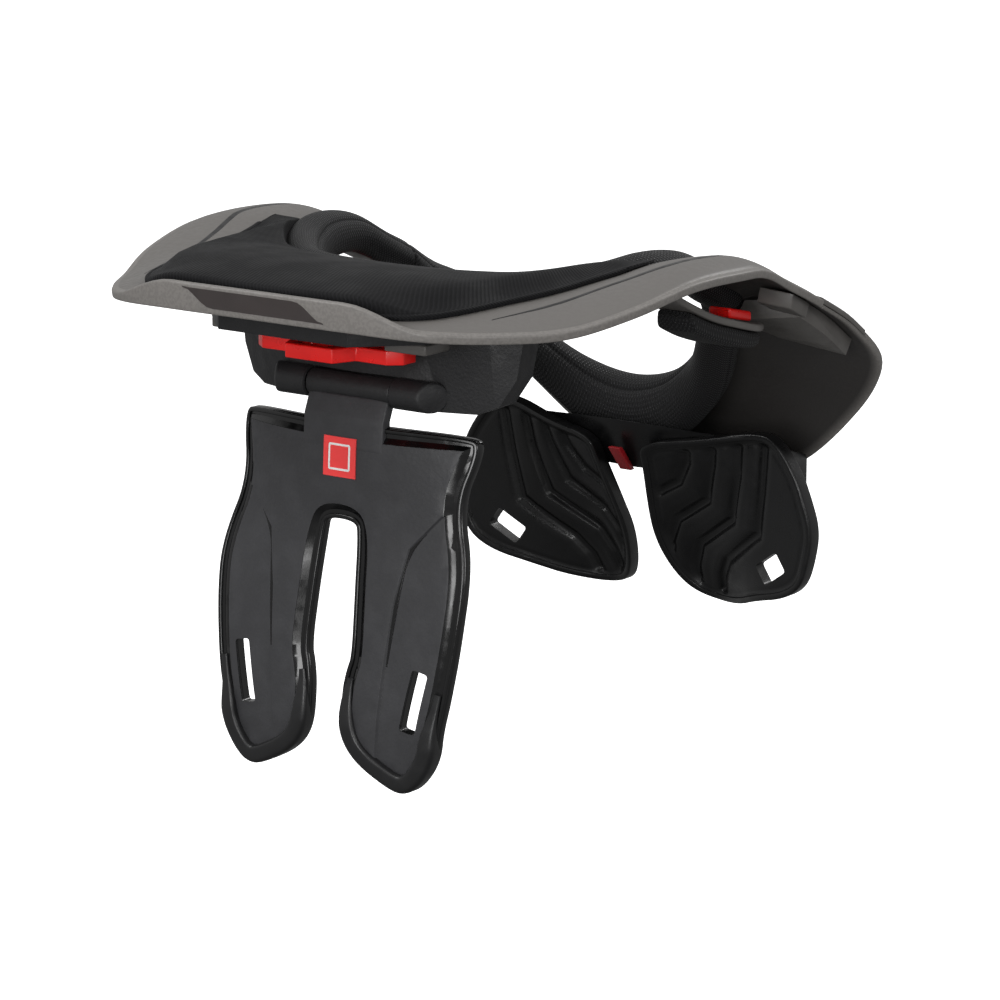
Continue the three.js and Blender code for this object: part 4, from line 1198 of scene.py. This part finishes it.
class BRACE_OT_strut(bpy.types.Operator):
    """Adds the back strut with its edge bead, rubber feet and label"""

    bl_idname = "brace.strut"
    bl_label = "Back strut"

    def execute(self, context):
        made = finishes()
        barrel = hinge_rod(HINGE["radius"], HINGE["half"])
        settle(strut_rim(), "back_strut", ["thoracic_strut"], made.gloss)
        plate = joined("strut_plate", [strut_crest(), strut_neck()])
        settle(plate, "back_strut", [], made.strut)
        settle(object_from(barrel, "strut_barrel"), "back_strut", [], made.chassis)
        section = [(-0.9, 0.6, 0.5), (0.9, 0.6, 0.5), (0.9, -0.75, 0.8), (-0.9, -0.75, 0.8)]
        bead = swept(rounded(inset(strut_loop(), 1.2), 3), section, True, strut_face)
        settle(object_from(bead, "strut_bead"), "back_strut", [], made.gloss)
        # Strips of painted shade along the steps of the legs' outer panels.
        for name, side in SIDES:
            line = object_from(painted_step_shade(side), f"strut_valley_{name}")
            settle(line, "back_strut", [], made.gloss)
        half = 0.5 * STRUT["bumper"]
        rise, depth = -STRUT["bumper_rise"], STRUT["thickness"]
        tyre = [(-half, depth, 1.5), (half, depth, 1.5), (half, rise, 2.2), (0.2 * half, rise - 0.2, 1),
                (-half, rise, 2.2)]
        for name, side in SIDES:
            bumper = object_from(swept(foot_path(side), tyre, False, strut_face, 0.2), f"foot_bumper_{name}")
            settle(bumper, "back_strut", [f"strut_bumper_{name}"], made.rubber)
        square, pale = framed_square()
        settle(object_from(square, "label_square"), "back_strut", ["strut_label"], made.label)
        settle(object_from(pale, "label_frame"), "back_strut", [], made.pale)
        return {"FINISHED"}


# Latches

# Each row: frame node, name, slot, finish, edge rounding, body

LATCH_PIECES = (
    ("latch_bracket", "seam_bracket", "shell", "grey", 0.6, "root"),
    ("latch_block", "latch_housing", "shell", "grey", 0.9, "front"),
    ("size_slider", "slider", "dark_red", "dark_red", 0.3, "front"),
)


class BRACE_OT_latches(bpy.types.Operator):
    """Adds the seam brackets, the latch housings and the size sliders"""

    bl_idname = "brace.latches"
    bl_label = "Latches"

    def execute(self, context):
        made = finishes()
        for name, _ in SIDES:
            for node, label, slot, finish, rounding, body in LATCH_PIECES:
                piece = object_from(softened_copy(f"{node}_{name}", rounding), f"{label}_{name}")
                settle(piece, body, [f"{node}_{name}"], getattr(made, finish))
        return {"FINISHED"}


# Chest flaps

def flap_face(x, z):
    """Where the flap's rear face lies along Y."""
    across = abs(x) / FLAP["width"]
    start = smooth_value(FLAP_BEND, across)
    lean = smooth_value(FLAP_BEND, across, 2)
    return start + lean * (-FLAP["top"] - FLAP["datum"] - z)


def flap_point(across, down, side):
    return Vector((side * across * FLAP["width"], -FLAP["top"] - down * FLAP["height"]))


def flap_skin(side, groove_depth):
    """A thick leaf in rings from the middle of its rear face, round its edge, to the middle in front."""
    outline = rounded([flap_point(*row, side) for row in FLAP_OUTLINE], 4)
    grooves = [[flap_point(*point, side) for point in line] for line in FLAP_GROOVES]
    centre = flap_point(0.54, 0.48, side)
    half = 0.5 * FLAP["thickness"]
    edge = inset(outline, FLAP["edge"])
    rings = []

    def ring(points, lift_at):
        rings.append([Vector((p.x, flap_face(p.x, p.y) + half + lift_at(p), p.y)) for p in points])

    def rear(p):
        to_edge = line_distance(p, outline + outline[:1])
        border = FLAP["border"] * (1 - ease(to_edge, *FLAP_RELIEF["border_run"]))
        lowered = ease(to_edge, *FLAP_RELIEF["field_run"])
        nearest = min(line_distance(p, groove) for groove in grooves)
        dip = groove_depth * (1 - ease(nearest, *FLAP_RELIEF["groove_run"])) * lowered
        pillow = FLAP_RELIEF["pillow"] * ease(nearest, *FLAP_RELIEF["pillow_run"]) * lowered
        return -half + dip - pillow - border

    for share in steps(0.02, 1, 44):
        ring([centre.lerp(p, share) for p in edge], rear)
    for angle in steps(0, math.pi, 8)[1:-1]:
        points = [p.lerp(q, math.sin(angle)) for p, q in zip(edge, outline)]
        cos = math.cos(angle)
        ring(points, lambda p: -cos * (half + (FLAP["border"] if cos > 0 else 0)))
    for share in steps(1, 0.02, 12):
        ring([centre.lerp(p, share) for p in edge], lambda p: half)
    skin = grid_loft(rings)
    bmesh.ops.triangulate(skin, faces=[f for f in skin.faces if len(f.verts) > 4])
    slot = rectangle(FLAP["slot_length"], FLAP["slot_width"], 1.5)
    turn = Matrix.Rotation(side * FLAP["slot_tilt"], 2)
    hole = [turn @ p + flap_point(0.74, 0.71, side) for p in softened(slot)]
    return cut_out(skin, [prism(hole, 80, 140)])


def flap_bead(side):
    """The thick rolled border of a flap."""
    outline = rounded([flap_point(*row, side) for row in FLAP_OUTLINE], 3)
    rear, front = -1.7, FLAP["thickness"] + 0.5
    corners = [(-1.5, front, 1), (1.5, front, 1), (1.5, rear, 1.3), (-1.5, rear, 1.3)]
    return swept(inset(outline, 1.3), corners, True, flap_face)


class BRACE_OT_chest(bpy.types.Operator):
    """Adds the chest flaps, the shelf that carries them and the clip between them"""

    bl_idname = "brace.chest"
    bl_label = "Chest flaps"

    def execute(self, context):
        made = finishes()
        depth = context.scene.brace_sizes.groove_depth / MM
        for name, side in SIDES:
            flap = object_from(flap_skin(side, depth), f"flap_{name}", 50)
            settle(flap, "front", [f"chest_flap_{name}"], made.flap)
            settle(object_from(flap_bead(side), f"flap_border_{name}"), "front", [], made.flap)
        shelf = object_from(softened_copy("chest_shelf", 1.0), "shelf")
        settle(shelf, "front", ["chest_shelf"], made.flap)
        clip = softened_copy("chest_clip", 0.6)
        middle = sum((v.co for v in clip.verts), Vector()) / len(clip.verts)
        lower = Matrix.Translation(middle - Vector((0, 0, CLIP["drop"] * MM)))
        shrink = lower @ Matrix.Diagonal((*CLIP["scale"], 1)) @ Matrix.Translation(-middle)
        bmesh.ops.transform(clip, matrix=shrink, verts=clip.verts)
        clip = object_from(clip, "clip")
        settle(clip, "front", ["chest_clip"], made.dark_red)
        return {"FINISHED"}


# Stage

# Angles in degrees, the rest in millimetres

CAMERA = {"turn": 36, "tilt": 13, "distance": 1700, "right": 7.31, "up": -83.85, "lens": 159.1}

# The floor's distance below the brace, in metres

FLOOR_GAP = 0.16

# Each row: name, place and size in metres, power in watts

LIGHTS = (
    ("key_from_above", (-0.7, -0.8, 1.3), 0.7, 13),
    ("front_light", (0.5, -1.6, 0.25), 0.7, 12),
    ("fill_from_right", (1.5, -0.6, 0.5), 0.4, 5),
    ("rim_from_behind", (0.4, 1.3, 1.0), 0.6, 9),
)

# Brightness of the sky from straight down to straight up

SKY = ((0.0, 0.10), (0.5, 0.40), (1.0, 0.62))


class BRACE_OT_stage(bpy.types.Operator):
    """Adds the floor, the lights and the camera"""

    bl_idname = "brace.stage"
    bl_label = "Stage"

    def execute(self, context):
        scene = context.scene
        bm = bmesh.new()
        bmesh.ops.create_grid(bm, x_segments=1, y_segments=1, size=40)
        bmesh.ops.translate(bm, verts=bm.verts, vec=Vector((0, 0, cad_box[0][2] - FLOOR_GAP)))
        floor = object_from(bm, "floor")
        pale = Finish("pale_floor", (0.86, 0.86, 0.86), 0.9, Emission_Strength=0.9)
        pale.shader.inputs["Emission Color"].default_value = (1, 1, 1, 1)
        floor.data.materials.append(pale.material)
        floor.visible_diffuse = False
        floor.visible_glossy = False
        world = bpy.data.worlds.new("studio")
        world.use_nodes = True
        self.add_sky(world.node_tree)
        scene.world = world
        scene.view_settings.view_transform = "Standard"
        for name, place, size, power in LIGHTS:
            lamp = bpy.data.lights.new(name, "AREA")
            lamp.size = size
            lamp.energy = power
            light = bpy.data.objects.new(name, lamp)
            aim = (-Vector(place)).to_track_quat("-Z", "Y").to_matrix().to_4x4()
            light.matrix_world = Matrix.Translation(place) @ aim
            scene.collection.objects.link(light)
        self.add_camera(scene)
        return {"FINISHED"}

    def add_sky(self, tree):
        """Soft light that comes mostly from above."""
        place = tree.nodes.new("ShaderNodeTexCoord")
        split = tree.nodes.new("ShaderNodeSeparateXYZ")
        level = tree.nodes.new("ShaderNodeMapRange")
        level.inputs["From Min"].default_value = -1
        ramp = tree.nodes.new("ShaderNodeValToRGB")
        for i, (at, value) in enumerate(SKY):
            stop = ramp.color_ramp.elements[i] if i < 2 else ramp.color_ramp.elements.new(at)
            stop.position = at
            stop.color = (value, value, value, 1)
        background = tree.nodes["Background"]
        tree.links.new(place.outputs["Generated"], split.inputs["Vector"])
        tree.links.new(split.outputs["Z"], level.inputs["Value"])
        tree.links.new(level.outputs["Result"], ramp.inputs["Fac"])
        tree.links.new(ramp.outputs["Color"], background.inputs["Color"])

    def add_camera(self, scene):
        turn, tilt = math.radians(CAMERA["turn"]), math.radians(CAMERA["tilt"])
        right = Vector((math.cos(turn), math.sin(turn), 0))
        back = Vector((math.sin(turn) * math.cos(tilt), -math.cos(turn) * math.cos(tilt), math.sin(tilt)))
        up = back.cross(right)
        lens = bpy.data.cameras.new("camera")
        lens.lens = CAMERA["lens"]
        lens.sensor_width = 36
        lens.clip_end = 200
        camera = bpy.data.objects.new("camera", lens)
        place = (right * CAMERA["right"] + up * CAMERA["up"] + back * CAMERA["distance"]) * MM
        camera.matrix_world = Matrix.Translation(place) @ Matrix((right, up, back)).transposed().to_4x4()
        scene.collection.objects.link(camera)
        scene.camera = camera


class BRACE_PT_panel(bpy.types.Panel):
    """Lists the brace's pieces"""

    bl_idname = "BRACE_PT_panel"
    bl_label = "Neck brace"
    bl_space_type = "VIEW_3D"
    bl_region_type = "UI"
    bl_category = "Brace"

    def draw(self, context):
        for group in (context.scene.brace_sizes, context.scene.brace_colours):
            for key in group.__annotations__:
                self.layout.prop(group, key)
        for operator in OPERATORS:
            self.layout.operator(operator.bl_idname)


OPERATORS = (BRACE_OT_shells, BRACE_OT_pads, BRACE_OT_tongues, BRACE_OT_chassis, BRACE_OT_strut,
             BRACE_OT_latches, BRACE_OT_chest, BRACE_OT_stage)
CLASSES = (BraceSizes, BraceColours, *OPERATORS, BRACE_PT_panel)


def register():
    for item in CLASSES:
        bpy.utils.register_class(item)
    bpy.types.Scene.brace_sizes = PointerProperty(type=BraceSizes)
    bpy.types.Scene.brace_colours = PointerProperty(type=BraceColours)


def unregister():
    del bpy.types.Scene.brace_sizes
    del bpy.types.Scene.brace_colours
    for item in reversed(CLASSES):
        bpy.utils.unregister_class(item)


def main():
    register()
    for operator in OPERATORS:
        group, name = operator.bl_idname.split(".")
        getattr(getattr(bpy.ops, group), name)()


if __name__ == "__main__":
    main()
